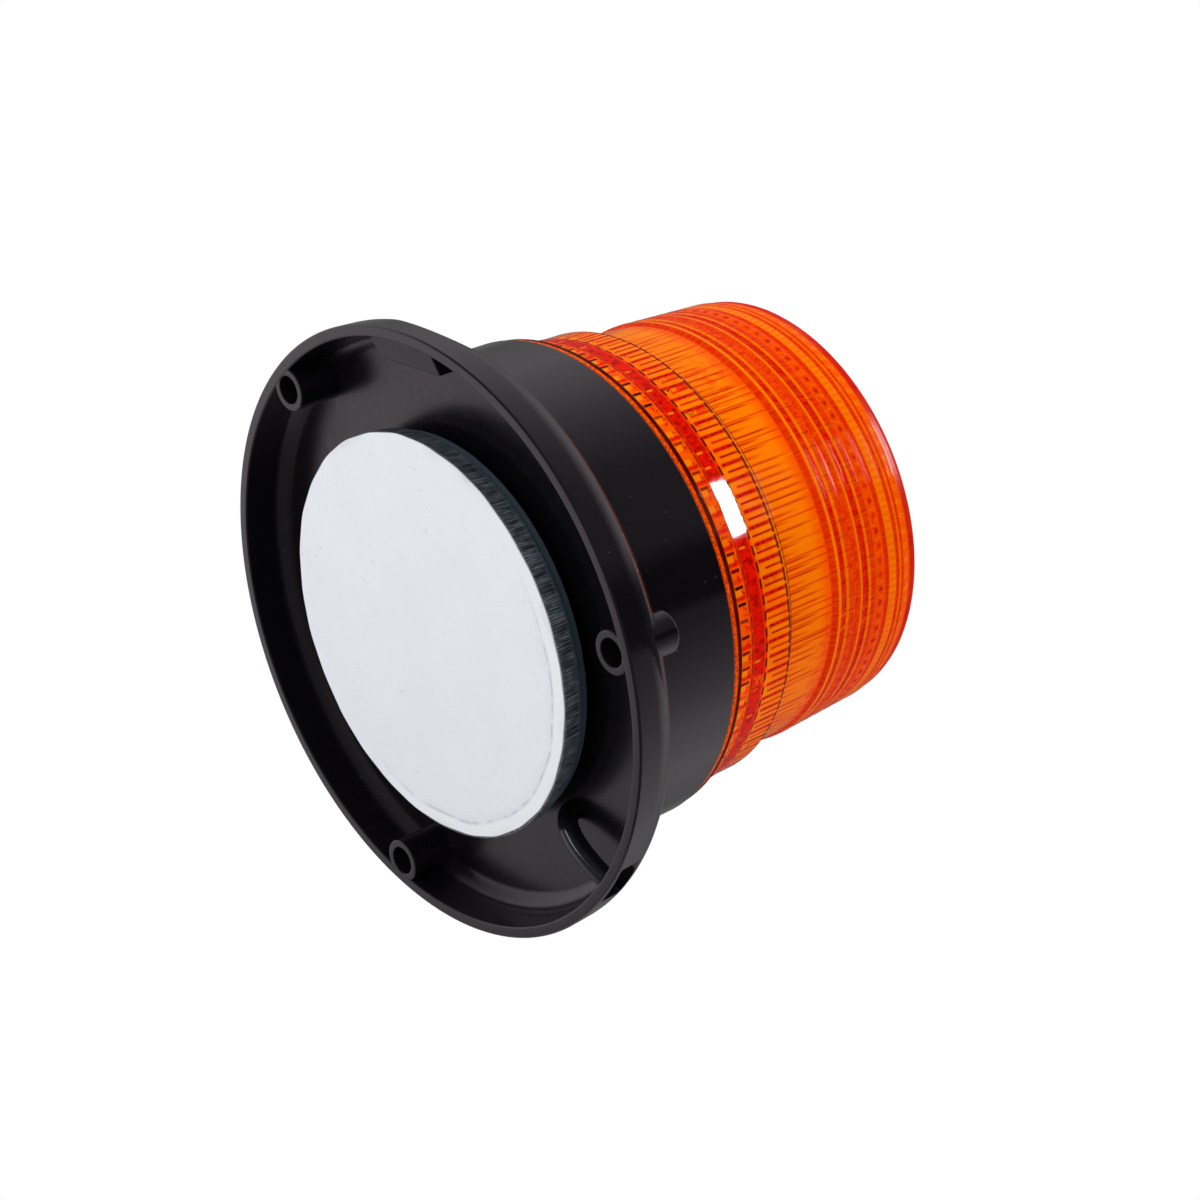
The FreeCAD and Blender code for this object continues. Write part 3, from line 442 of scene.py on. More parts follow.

    # ribs: rows of their own shade, broken up by the flutes; the glow rows and glow lines are painted light
    for low, high, shade, strength in s["ribs"]:
        mark(shade, strength, zone(low, high, 0.2))
    mark("red", 0.3, zone(75, 102), by=(streaky,))
    mark("glow", 0.16, zone(75, 101), by=(hairs,))
    mark("red", 0.4, zone(75.2, 76.8), bar=(0.5, 0.34, 0.14))
    mark("orange", 0.85, zone(77.7, 79.5), bar=(0.1, 0.3, 0.1), some=(second, 0.2), by=(sides,))
    mark("darkRed", 0.25, zone(77.8, 79.4, 0.3), by=(blotch,))
    mark("orange", 0.5, zone(80.4, 84.0, 0.3), by=(mottle,))
    mark("red", 0.5, zone(80.6, 83.8, 0.3), by=(blotch,))
    mark("orange", 0.9, zone(84.7, 86.7), bar=(0.3, 0.3, 0.1), some=(second, 0.3), by=(mottle,))
    mark("darkRed", 0.3, zone(84.8, 86.7, 0.3), by=(blotch,))
    mark("red", 0.6, zone(87.6, 89.6), bar=(0.5, 0.4, 0.12), by=(streaky,))
    mark("deep", 0.6, zone(89.7, 91.9, 0.3), by=(mottle,))
    mark("red", 0.8, zone(90.2, 91.4, 0.4), bar=(0.5, 0.42, 0.22))
    mark("darkRed", 0.7, zone(90.4, 91.2, 0.35), bar=(0.55, 0.2, 0.2), some=(third, 0.6))
    mark("red", 0.6, zone(92.0, 93.7), by=(streaky,))
    mark("orange", 0.8, zone(93.9, 95.8), bar=(0.5, 0.4, 0.2), half=True)
    mark("glow", 0.8, zone(98.6, 100.5), bar=(0.3, 0.4, 0.15), by=(mottle,))
    # painted shade lines where the flute edges cross the feet of the ribs
    for low, high in s["fluteShadeLines"]:
        mark("darkRed", 0.5, zone(low, high, 0.4), bar=(0.96, 0.1, 0.06), some=(first, 0.7))

    # dark rings: painted shade
    for low, high, strength, length in s["rings"]:
        mark("paintedShade", strength, zone(low, high, 0.1), bar=(0.5, length, 0.05))

    # the flat top is plain
    cloud = net.noise(net.place(), *s["topCloud"])
    plain = net.mixColour(net.remap(cloud, *s["topMix"]), s["red"], s["deep"])
    colour = net.mixColour(net.rise(height, *s["top"]), colour, plain)
    net.join(colour, shader.inputs["Base Color"])
    grain = grainOf(net, s)
    dull = net.calc("ADD", grain.outputs["Roughness"], net.rise(height, *s["crownDull"]))
    net.join(dull, shader.inputs["Roughness"])
    net.bump(shader, net.times(mottle, zone(*s["uneven"])), *s["unevenBump"])
    setInputs(shader, IOR=s["ior"], Transmission_Weight=s["clearness"])
    return material


def clearFinish(name, colour, roughness, ior):
    material, shader, _ = newMaterial(name)
    setInputs(shader, Base_Color=(*colour, 1), Roughness=roughness, IOR=ior, Transmission_Weight=1)
    return material


filmFinish = dict(
    white=(0.745, 0.775, 0.825), cloudy=0.965, margin=(0.765, 0.785, 0.82), grime=(0.22, 0.19, 0.16),
    patches=(60, 6), patchRange=(0.3, 0.7), smudgeRange=(0.52, 0.72),
    edge=45.6, edgeSoft=1.2, edgeGrime=0.2,
    # the edge of the steel under the film shows as a worn line on one side, whiter outside it:
    # reach in mm, width and softness, how far it wanders, its wear, its strength
    pressLine=43.4, lineWidth=(0.5, 0.5), wander=(-0.5, 0.5), wear=(240, 5), wearRange=(0.38, 0.56, 0.15, 1),
    lineGrime=0.5, side=(0.27, 0.38, 0.05), outside=0.3,
    # smudge inside the line: reach from it, width and softness, strength
    halo=-0.8, haloWidth=(1.2, 1.2), haloGrime=0.07,
    speckScale=300, marks=0.5, speckGrime=0.5,
    grainScale=260, smooth=0.22, rough=0.42, bump=(0.05, 0.0001),
)


def whiteFilm():
    s = filmFinish
    material, shader, net = newMaterial("whiteFilm")
    place = net.group(ringPlace)
    marks = net.group(handlingMarks, Speck_Scale=s["speckScale"], Amount=s["marks"])
    grain = grainOf(net, s)
    spot = net.place()
    patches = net.noise(spot, *s["patches"])
    side = net.stripe(place.outputs["Turn"], *s["side"])
    reach = net.calc("ADD", place.outputs["Reach"], net.remap(patches, *s["patchRange"], *s["wander"]))
    edge = net.times(net.rise(place.outputs["Reach"], s["edge"], s["edgeSoft"]),
                     net.remap(patches, *s["smudgeRange"]))
    line = net.times(net.stripe(reach, s["pressLine"], *s["lineWidth"]), side,
                     net.remap(net.noise(spot, *s["wear"]), *s["wearRange"]))
    halo = net.times(net.stripe(reach, s["pressLine"] + s["halo"], *s["haloWidth"]), side)
    grime = net.times(edge, s["edgeGrime"])
    for mask, strength in ((line, "lineGrime"), (halo, "haloGrime"), (marks.outputs["Specks"], "speckGrime")):
        grime = net.calc("MAXIMUM", grime, net.times(mask, s[strength]))
    cloudy = tuple(channel * s["cloudy"] for channel in s["white"])
    colour = net.mixColour(net.remap(patches, *s["patchRange"]), s["white"], cloudy)
    outside = net.times(net.rise(reach, s["pressLine"] + s["outside"], s["outside"]), side)
    colour = net.mixColour(outside, colour, s["margin"])
    net.join(net.mixColour(grime, colour, s["grime"]), shader.inputs["Base Color"])
    net.join(grain.outputs["Roughness"], shader.inputs["Roughness"])
    net.bump(shader, grain.outputs["Height"], *s["bump"])
    return material


ferriteFinish = dict(
    dark=(0.010, 0.014, 0.019), light=(0.29, 0.33, 0.39),
    # upright lines of the press: count to a turn, stretch upwards, detail, lowest and highest value used
    fine=(1500, 0.12, 3, 0.43, 0.66), coarse=(1500 / 9, 0.3, 3, 0.35, 0.65), coarseMix=(0, 1, 0.45, 1),
    towardOutlet=(-0.025, 0.02, 0.4, 1),              # darker on the side away from the outlet, m
    # paler edge at the steel, and the joint beside it: height in mm, softness or width, strength
    farEdge=(0.15, 0.19, 0.24), farHeight=(4.35, 0.25), farStrength=0.55,
    joint=(4.75, 0.22, 0.12), jointStrength=0.8,
    grainScale=700, smooth=0.35, rough=0.6, bump=(0.4, 0.0001),
)


def pressedFerrite():
    s = ferriteFinish
    material, shader, net = newMaterial("pressedFerrite")
    place = net.group(ringPlace)
    turn, height = place.outputs["Turn"], place.outputs["Height"]

    def upright(count, lean, detail, low, high):
        lines = net.sideNoise(turn, height, count, lean, 1, detail)
        return lines, net.remap(lines, low, high)

    lines, thin = upright(*s["fine"])
    patchy = upright(*s["coarse"])[1]
    axes = net.add("ShaderNodeSeparateXYZ")
    net.join(net.place(), axes.inputs[0])
    towardOutlet = net.remap(axes.outputs["Y"], *s["towardOutlet"])
    shade = net.mixColour(net.times(thin, net.remap(patchy, *s["coarseMix"]), towardOutlet), s["dark"], s["light"])
    far = net.times(net.rise(height, *s["farHeight"]), towardOutlet, s["farStrength"])
    shade = net.mixColour(far, shade, s["farEdge"])
    joint = net.times(net.stripe(height, *s["joint"]), s["jointStrength"])
    net.join(net.mixColour(joint, shade, s["dark"]), shader.inputs["Base Color"])
    grain = grainOf(net, s)
    net.join(grain.outputs["Roughness"], shader.inputs["Roughness"])
    net.bump(shader, lines, *s["bump"])
    return material


plainLook = dict(grainScale=500, leastRough=0.02, bump=(0.05, 0.0001), marks=0.4, worn=0.72)


def plainFinish(name, colour, roughness, metallic=0.0, spread=0.08):
    s = plainLook
    material, shader, net = newMaterial(name)
    grain = net.group(mouldedGrain, Scale=s["grainScale"], Smooth=max(roughness - spread, s["leastRough"]),
                      Rough=roughness + spread)
    marks = net.group(handlingMarks, Amount=s["marks"])
    worn = tuple(channel * s["worn"] for channel in colour)
    net.join(net.mixColour(marks.outputs["Scuffs"], colour, worn), shader.inputs["Base Color"])
    net.join(grain.outputs["Roughness"], shader.inputs["Roughness"])
    setInputs(shader, Metallic=metallic)
    net.bump(shader, grain.outputs["Height"], *s["bump"])
    return material


finishes = dict(
    blackPlastic=blackPlastic(),
    amberPlastic=amberPlastic(),
    amberInside=clearFinish("amberInside", amberFinish["inner"], amberFinish["innerRoughness"],
                            amberFinish["ior"]),
    whiteFilm=whiteFilm(),
    ferrite=pressedFerrite(),
    platedSteel=plainFinish("platedSteel", (0.36, 0.40, 0.46), 0.34, metallic=1.0),
    # the plate's side: its bluish zinc plating with the dim reflection it shows painted in, as a matte blue-grey
    bluedSteel=plainFinish("bluedSteel", (0.05, 0.07, 0.095), 0.42),
    rubber=plainFinish("rubber", (0.016, 0.016, 0.017), 0.35),
    blackSleeve=plainFinish("blackSleeve", (0.004, 0.004, 0.005), 0.16, spread=0.04),
    board=plainFinish("board", (0.05, 0.22, 0.09), 0.4),
    brass=plainFinish("brass", (0.75, 0.56, 0.26), 0.3, metallic=1.0),
    mirrorDish=plainFinish("mirrorDish", (0.88, 0.88, 0.90), 0.2, metallic=1.0),
    whitePlastic=plainFinish("whitePlastic", (0.82, 0.81, 0.78), 0.4),
    clearGlass=clearFinish("clearGlass", (0.97, 0.98, 0.99), 0.02, 1.46),
    foil=plainFinish("foil", (0.80, 0.80, 0.82), 0.25, metallic=1.0),
    blueSleeve=plainFinish("blueSleeve", (0.02, 0.04, 0.15), 0.25),
    yellowTape=plainFinish("yellowTape", (0.72, 0.52, 0.08), 0.4),
    coreFerrite=plainFinish("coreFerrite", (0.05, 0.05, 0.055), 0.6),
    epoxy=plainFinish("epoxy", (0.02, 0.02, 0.02), 0.5),
    greenPlastic=plainFinish("greenPlastic", (0.06, 0.3, 0.15), 0.4),
    tanCoat=plainFinish("tanCoat", (0.6, 0.45, 0.28), 0.45),
)

nodeFinishes = dict(
    base_housing="blackPlastic", lens="amberPlastic", lens_seal="rubber", magnet_film="whiteFilm",
    magnet_ring="ferrite", magnet_plate="bluedSteel", magnet_bolt="platedSteel",
    magnet_washer="platedSteel", magnet_nut="platedSteel", cable_sleeve="blackSleeve",
    circuit_board="board", board_pillars="brass", reflector_screws="platedSteel",
    reflector="mirrorDish", tube_holder="whitePlastic", flash_tube="clearGlass",
    tube_electrodes="platedSteel", trigger_bands="foil", storage_capacitor="blueSleeve",
    transformer_winding="yellowTape", transformer_core="coreFerrite", trigger_coil="yellowTape",
    heat_sink="platedSteel", power_transistor="epoxy", timing_chip="epoxy",
    terminal_block="greenPlastic", terminal_screws="platedSteel", resistors="tanCoat",
)
for node, finish in nodeFinishes.items():
    nodes[node].data.materials.clear()
    nodes[node].data.materials.append(finishes[finish])
print("materials made:", len(finishes))


# mesh tools

meshLook = dict(axisGap=0.05, poleReach=0.2, merge=1e-7, arcSegments=4, slabSegments=10, barSegments=48,
                edgeSegments=3, normalWeight=70)


def bevelEdges(bm, edges, rounding):
    bmesh.ops.bevel(bm, geom=edges, offset=rounding * mm, offset_type="OFFSET", affect="EDGES",
                    segments=meshLook["edgeSegments"], profile=0.5, material=-1)


def bevelCorners(bm, corners, rounding, segments):
    bmesh.ops.bevel(bm, geom=corners, offset=rounding * mm, offset_type="OFFSET", affect="VERTICES",
                    segments=segments, profile=0.5, material=-1)


def turnAbout(bm, angle):
    bmesh.ops.rotate(bm, verts=bm.verts[:], cent=(0, 0, 0), matrix=Matrix.Rotation(math.radians(angle), 3, "Z"))


# corners are given as (reach, height, rounding) in mm; one on the axis stays a hair off it, so that the
# spin leaves a small ring to fill
def roundedProfile(bm, corners, closed):
    verts = [bm.verts.new((max(reach, meshLook["axisGap"]) * mm, 0, height * mm)) for reach, height, _ in corners]
    pairs = list(zip(verts, verts[1:]))
    if closed:
        pairs.append((verts[-1], verts[0]))
    for first, second in pairs:
        bm.edges.new((first, second))
    for vert, (_, _, rounding) in zip(verts, corners):
        if rounding:
            bevelCorners(bm, [vert], rounding, round(meshLook["arcSegments"] + rounding))


def withRoundings(points, roundings):
    return [(*point, rounding) for point, rounding in zip(points, roundings)]


def spinRound(bm, steps):
    bmesh.ops.spin(bm, geom=bm.verts[:] + bm.edges[:], cent=(0, 0, 0), axis=(0, 0, 1),
                   dvec=(0, 0, 0), angle=math.tau, steps=steps, use_merge=True)
    bmesh.ops.remove_doubles(bm, verts=bm.verts[:], dist=meshLook["merge"])
    pole = [edge for edge in bm.edges if edge.is_boundary
            and all(math.hypot(vert.co.x, vert.co.y) < meshLook["poleReach"] * mm for vert in edge.verts)]
    if pole:
        bmesh.ops.holes_fill(bm, edges=pole)
    bmesh.ops.recalc_face_normals(bm, faces=bm.faces[:])


def joinInto(bm, other):
    mesh = bpy.data.meshes.new("part")
    other.to_mesh(mesh)
    other.free()
    bm.from_mesh(mesh)
    bpy.data.meshes.remove(mesh)


def turned(corners, steps, x=0.0, y=0.0):
    bm = bmesh.new()
    roundedProfile(bm, corners, True)
    spinRound(bm, steps)
    bmesh.ops.translate(bm, verts=bm.verts[:], vec=(x * mm, y * mm, 0))
    return bm


# a flat outline given as (reach, height), drawn out to both sides and turned about the axis
def slab(outline, near, far, turn, rounding=0.0):
    bm = bmesh.new()
    verts = [bm.verts.new((reach * mm, near * mm, height * mm)) for reach, height in outline]
    for first, second in zip(verts, verts[1:] + verts[:1]):
        bm.edges.new((first, second))
    if rounding:
        bevelCorners(bm, verts, rounding, meshLook["slabSegments"])
    bmesh.ops.contextual_create(bm, geom=bm.edges[:])
    grown = bmesh.ops.extrude_face_region(bm, geom=bm.faces[:])
    moved = [item for item in grown["geom"] if isinstance(item, bmesh.types.BMVert)]
    bmesh.ops.translate(bm, verts=moved, vec=(0, (far - near) * mm, 0))
    bmesh.ops.holes_fill(bm, edges=bm.edges[:])
    turnAbout(bm, turn)
    bmesh.ops.recalc_face_normals(bm, faces=bm.faces[:])
    return bm


def roundBar(radius, low, high, x, y):
    bm = bmesh.new()
    bmesh.ops.create_cone(bm, cap_ends=True, segments=meshLook["barSegments"], radius1=radius * mm,
                          radius2=radius * mm, depth=(high - low) * mm)
    bmesh.ops.translate(bm, verts=bm.verts[:], vec=(x * mm, y * mm, (low + high) / 2 * mm))
    return bm


def cutAway(bm, tool):
    made = []
    for name, source in (("work", bm), ("tool", tool)):
        mesh = bpy.data.meshes.new(name)
        source.to_mesh(mesh)
        source.free()
        made.append(bpy.data.objects.new(name, mesh))
        scene.collection.objects.link(made[-1])
    cut = made[0].modifiers.new("cut", "BOOLEAN")
    cut.operation = "DIFFERENCE"
    cut.solver = "EXACT"
    cut.object = made[1]
    shaped = made[0].evaluated_get(bpy.context.evaluated_depsgraph_get())
    shaped = bpy.data.meshes.new_from_object(shaped)
    result = bmesh.new()
    result.from_mesh(shaped)
    bpy.data.meshes.remove(shaped)
    for item in made:
        mesh = item.data
        bpy.data.objects.remove(item)
        bpy.data.meshes.remove(mesh)
    return result


def finishPiece(name, bm, body, finish, node, sharpAngle):
    mesh = bpy.data.meshes.new(name)
    bm.to_mesh(mesh)
    bm.free()
    mesh.shade_smooth()
    mesh.set_sharp_from_angle(angle=math.radians(sharpAngle))
    for layer in (finish if isinstance(finish, tuple) else (finish,)):
        mesh.materials.append(finishes[layer])
    piece = bpy.data.objects.new(name, mesh)
    scene.collection.objects.link(piece)
    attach(piece, body)
    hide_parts(node)
    return piece


# broad faces decide the shading, so that roundings don't bend it
def evenNormals(piece):
    even = piece.modifiers.new("evenNormals", "WEIGHTED_NORMAL")
    even.keep_sharp = True
    even.weight = meshLook["normalWeight"]


# base housing

housingShape = dict(
    steps=256, sharpAngle=32,
    # reach, height and rounding of each corner, mm
    profile=(
        (71.0, 0.6, 0.5), (70.1, 13.6, 7.5), (57.3, 13.6, 2.0), (56.8, 40.2, 0.4), (55.8, 40.2, 0.1),
        (55.8, 39.0, 0), (54.4, 39.0, 0.1), (54.4, 13.6, 1.5), (4.1, 13.6, 0.1), (4.1, 8.0, 0.1),
        (31.0, 8.0, 0.4), (31.0, 11.1, 0.5), (67.5, 11.1, 4.0), (68.3, 0.6, 0.35),
    ),
    bossAngles=(40, 160, 280), bossReach=65.0, bossRadius=5.0, bossHole=3.3, bossLow=0.66, bossTop=15.6,
    bossRoundings=(0.2, 0.3, 0.9, 0.3),
    bossCut=(2, 18), bossSteps=64,             # heights between which the shell makes room for a boss
    panelAngle=325, panelOutline=((71.07, 5.8), (80, 5.8), (80, 14.57), (62.3, 14.57)),
    # block behind the panel, in the bowl
    backAngle=322, backNear=-10.2, backFar=11.0, backRounding=0.35,
    backOutline=((67.9, 0.9), (68.5, 0.9), (68.5, 7.17), (63.67, 12.0), (62.2, 12.0), (62.2, 3.0)),
    slotHalf=6.5, slotLow=1.5, slotHigh=7.2, slotCorner=0.6, slotCut=(60, 76),
    deckHole=(-8.2, 48.0), deckHoleRadius=2.4, deckCut=(9, 15),
    postAngles=(30, 150, 270), postReach=40.0, postRadius=4.0, postHole=1.6, postFoot=13.4, postHoleFoot=15.0,
    postTop=20.0, postRoundings=(0, 0, 0.4, 0.2), postSteps=40,
    ledgeAngles=(20, 140, 260), ledgeSpan=40, ledgeReach=(52.1, 55.0), ledgeHeight=(36.3, 38.5), ledgeSteps=24,
)


def ledge(angle):
    s = housingShape
    inner, outer = s["ledgeReach"]
    low, high = s["ledgeHeight"]
    bm = bmesh.new()
    bm.faces.new([bm.verts.new((reach * mm, 0, height * mm))
                  for reach, height in ((inner, low), (outer, low), (outer, high), (inner, high))])
    turnAbout(bm, angle - s["ledgeSpan"] / 2)
    bmesh.ops.spin(bm, geom=bm.faces[:] + bm.edges[:] + bm.verts[:], cent=(0, 0, 0), axis=(0, 0, 1),
                   dvec=(0, 0, 0), angle=math.radians(s["ledgeSpan"]), steps=s["ledgeSteps"])
    bmesh.ops.holes_fill(bm, edges=bm.edges[:])
    bmesh.ops.recalc_face_normals(bm, faces=bm.faces[:])
    return bm


def housingPiece():
    s = housingShape

    def spots(angles, reach):
        return [(reach * math.cos(turn), reach * math.sin(turn)) for turn in map(math.radians, angles)]

    bosses = spots(s["bossAngles"], s["bossReach"])
    rim = s["profile"][0][0]
    tools = slab(s["panelOutline"], -rim, rim, s["panelAngle"])
    half, low, high = s["slotHalf"], s["slotLow"], s["slotHigh"]
    slot = ((-half, low), (half, low), (half, high), (-half, high))
    joinInto(tools, slab(slot, *s["slotCut"], 0, s["slotCorner"]))
    joinInto(tools, roundBar(s["deckHoleRadius"], *s["deckCut"], *s["deckHole"]))
    for x, y in bosses:
        joinInto(tools, roundBar((s["bossRadius"] + s["bossHole"]) / 2, *s["bossCut"], x, y))
    bm = cutAway(turned(s["profile"], s["steps"]), tools)
    hole, wall, low, top = s["bossHole"], s["bossRadius"], s["bossLow"], s["bossTop"]
    boss = withRoundings(((hole, low), (wall, low), (wall, top), (hole, top)), s["bossRoundings"])
    for x, y in bosses:
        joinInto(bm, turned(boss, s["bossSteps"], x, y))
    block = slab(s["backOutline"], s["backNear"], s["backFar"], s["backAngle"])
    bevelEdges(block, block.edges[:], s["backRounding"])
    joinInto(bm, block)
    hole, wall, top = s["postHole"], s["postRadius"], s["postTop"]
    post = withRoundings(((hole, s["postHoleFoot"]), (wall, s["postFoot"]), (wall, top), (hole, top)),
                         s["postRoundings"])
    for x, y in spots(s["postAngles"], s["postReach"]):
        joinInto(bm, turned(post, s["postSteps"], x, y))
    for angle in s["ledgeAngles"]:
        joinInto(bm, ledge(angle))
    piece = finishPiece("baseHousing", bm, "base", "blackPlastic", "base_housing", s["sharpAngle"])
    evenNormals(piece)
    print("housing modelled:", len(piece.data.polygons), "faces")


housingPiece()


# cable sleeve: straight through the deck, then bowed down to the outlet

sleeveShape = dict(
    top=15.0, outer=2.3, bore=1.5, endRounding=0.25,
    collar=3.2, collarLow=13.6, collarLap=0.1, collarRoundings=(0, 0.2, 0.3, 0),
    segments=40, steps=28, sharpAngle=40,
    bowStart=11.0,
    # the bow's two handles and its end in the outlet, mm
    bow=((-8.2, 48.0, 6.2), (-7.7, 57.5, 4.8), (-4.2, 68.2, 4.8)),
)


def sleevePiece():
    s = sleeveShape
    x, y = housingShape["deckHole"]
    bow = [Vector(point) for point in ((x, y, s["bowStart"]), *s["bow"])]
    path = [Vector((x, y, s["top"])), *interpolate_bezier(*bow, s["steps"])]
    bm = bmesh.new()

    def rings(radius):
        made = []
        for index, spot in enumerate(path):
            way = (path[min(index + 1, len(path) - 1)] - path[max(index - 1, 0)]).normalized()
            up = way.cross(Vector((1, 0, 0))).normalized()
            turn = Matrix((up.cross(way), up, way)).transposed().to_4x4()
            circle = bmesh.ops.create_circle(bm, cap_ends=False, segments=s["segments"], radius=radius * mm,
                                             matrix=Matrix.Translation(spot * mm) @ turn)
            made.append(list({edge for vert in circle["verts"] for edge in vert.link_edges}))
        for first, second in zip(made, made[1:]):
            bmesh.ops.bridge_loops(bm, edges=first + second)
        return made

    outside, inside = rings(s["outer"]), rings(s["bore"])
    for end in (0, -1):
        bmesh.ops.bridge_loops(bm, edges=outside[end] + inside[end])
    bevelEdges(bm, outside[-1] + inside[-1], s["endRounding"])
    bmesh.ops.recalc_face_normals(bm, faces=bm.faces[:])
    hole, wall, low, top = s["outer"] - s["collarLap"], s["collar"], s["collarLow"], s["top"]
    collar = withRoundings(((hole, low), (wall, low), (wall, top), (hole, top)), s["collarRoundings"])
    joinInto(bm, turned(collar, s["segments"], x, y))
    finishPiece("cableSleeve", bm, "base", "blackSleeve", "cable_sleeve", s["sharpAngle"])
    print("sleeve modelled")


sleevePiece()


# magnet: film, ferrite ring and steel plate, each turned from its outline

magnetShape = dict(
    steps=224, sharpAngle=35,
    # reach, height and rounding of each corner, mm
    film=((0.0, 0.0, 0), (47.0, 0.0, 0.18), (47.0, 0.4, 0.1), (0.0, 0.4, 0)),
    ring=((9.5, 0.4, 0.2), (47.2, 0.4, 0.2), (46.4, 5.4, 0.35), (9.5, 5.4, 0.2)),
    plate=((4.1, 5.4, 0.1), (45.4, 5.4, 0.35), (45.4, 8.0, 0.4), (4.1, 8.0, 0.1)),
    # the film's hand-cut edge: inside which reach it is even, how far it lies inside its outline, and
    # waves along it, each with its depth in mm, count to a turn and phase
    cutReach=40, cutInside=0.24, cutWaves=((0.24, 1, -3.0 + math.pi / 2), (0.08, 11, 0), (0.07, 29, 1)),
)


def cutByHand(bm):
    s = magnetShape
    for vert in bm.verts:
        if math.hypot(vert.co.x, vert.co.y) > s["cutReach"] * mm:
            turn = math.atan2(vert.co.y, vert.co.x)
            inside = s["cutInside"] + sum(depth * math.sin(count * turn + phase)
                                          for depth, count, phase in s["cutWaves"])
            vert.co.x -= inside * mm * math.cos(turn)
            vert.co.y -= inside * mm * math.sin(turn)


def magnetPieces():
    s = magnetShape
    for name, outline, finish, slot, node in (
            ("magnetFilm", s["film"], "whiteFilm", "white_film", "magnet_film"),
            ("magnetRing", s["ring"], "ferrite", "ferrite", "magnet_ring"),
            ("magnetPlate", s["plate"], "bluedSteel", "plated_steel", "magnet_plate")):
        bm = bmesh.new()
        roundedProfile(bm, outline, outline[0][0] > 0)
        spinRound(bm, s["steps"])
        if node == "magnet_film":
            cutByHand(bm)
        finishPiece(name, bm, "base", finish, node, s["sharpAngle"])
    print("magnet modelled")


magnetPieces()


# lens: its outline is worked out upwards from the seat, its cavity from the waist, in mm

lensShape = dict(
    steps=450, sharpAngle=25, merge=1e-6,
    skirtDepth=7.0, skirtWall=1.6, skirtRadius=51.8,
    flangeHeight=2.3, flangeWidth=1.6, flangeDraft=0.05,
    bandHeights=(4.6, 5.1, 7.3), bandDrafts=(0.2, 0.4, 0.2), bandStep=0.6,
    neckSlope=2.8, neckDepth=4.2, waistHeight=13.0, waistDraft=0.2,
    ribCount=7, ribPitch=3.5, ribDepth=0.5, ribBulge=0.35, ribTaper=1.5,
    ribFlat=(0.25, 0.8),                       # shares of the pitch between which a rib is flat
    crownRadius=1.7, crownLand=1.6, crownDome=0.9, topThickness=2.6,
    rounding=dict(skirt=0.2, seat=0.3, flange=0.4, bandFoot=0.12, bandHead=0.15, neck=0.5, waist=0.2, rib=0.3,
                  groove=0.1, cavity=0.8),
    flutes=90, fluteDepth=0.3, fluteDraft=2.8, fluteReach=40, cavityInset=0.5, hair=0.01,
)


def lensOutline(foot, flangeR):
    s, rounding = lensShape, lensShape["rounding"]
    skirtR, skirtRounding = s["skirtRadius"], rounding["skirt"]
    seat = foot + s["skirtDepth"]
    z = seat + s["flangeHeight"]
    corners = [
        (skirtR - s["skirtWall"], foot, skirtRounding), (skirtR, foot, skirtRounding), (skirtR, seat, skirtRounding),
        (flangeR, seat, rounding["seat"]), (flangeR - s["flangeDraft"], z, rounding["flange"]),
    ]
    radius = flangeR - s["flangeWidth"]
    waistR = radius - s["neckDepth"]
    for height, draft in zip(s["bandHeights"], s["bandDrafts"]):
        corners.append((radius, z, rounding["bandFoot"]))
        z += height
        corners.append((radius - draft, z, rounding["bandHead"]))
        radius -= s["bandStep"]
    z += s["neckSlope"]
    corners.append((waistR, z, rounding["neck"]))
    z += s["waistHeight"]
    corners.append((waistR - s["waistDraft"], z, rounding["waist"]))
    for index in range(s["ribCount"]):
        crestR = waistR + s["ribBulge"] - s["ribTaper"] * index / s["ribCount"]
        for share in s["ribFlat"]:
            corners.append((crestR, z + s["ribPitch"] * share, rounding["rib"]))
        z += s["ribPitch"]
        corners.append((crestR - s["ribDepth"], z, rounding["groove"]))
    z += s["crownRadius"] + s["crownLand"]
    corners.append((crestR - s["ribDepth"], z, s["crownRadius"]))
    corners.append((0, z + s["crownDome"], 0))
    return corners, waistR, z


# flutes are pressed into the cavity's side, above the flange
def cutFlutes(bm, low, lowR):
    s = lensShape
    for vert in bm.verts:
        reach = math.hypot(vert.co.x, vert.co.y) / mm
        if vert.co.z / mm < low - s["hair"] or not s["fluteReach"] <= reach <= lowR + s["hair"]:
            continue
        turn = math.atan2(vert.co.y, vert.co.x)
        cut = s["fluteDepth"] * mm * (0.5 - 0.5 * math.cos(turn * s["flutes"]))
        vert.co.x -= cut * math.cos(turn)
        vert.co.y -= cut * math.sin(turn)


def lensPiece():
    s = lensShape
    low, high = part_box("lens")
    foot = low[2] / mm
    outline, waistR, shoulder = lensOutline(foot, high[0] / mm)
    bm = bmesh.new()
    roundedProfile(bm, outline, False)
    spinRound(bm, s["steps"])
    boreR = s["skirtRadius"] - s["skirtWall"]
    floor, roof = foot + s["skirtDepth"] + s["flangeHeight"], shoulder - s["topThickness"]
    lowR = waistR - s["cavityInset"]
    inner = bmesh.new()
    roundedProfile(inner, ((boreR, foot, 0), (boreR, floor, 0), (lowR, floor, 0),
                           (lowR - s["fluteDraft"], roof, s["rounding"]["cavity"]), (0, roof, 0)), False)
    spinRound(inner, s["steps"])
    cutFlutes(inner, floor, lowR)
    for face in inner.faces:
        face.material_index = 1
    joinInto(bm, inner)
    bmesh.ops.remove_doubles(bm, verts=bm.verts[:], dist=s["merge"])
    bmesh.ops.recalc_face_normals(bm, faces=bm.faces[:])
    piece = finishPiece("amberLens", bm, "lens_cap", ("amberPlastic", "amberInside"), "lens",
                        s["sharpAngle"])
    evenNormals(piece)
    print("lens modelled:", len(piece.data.polygons), "faces")


lensPiece()


# stage: a pale floor that only shows from above, soft lamps and a white backdrop

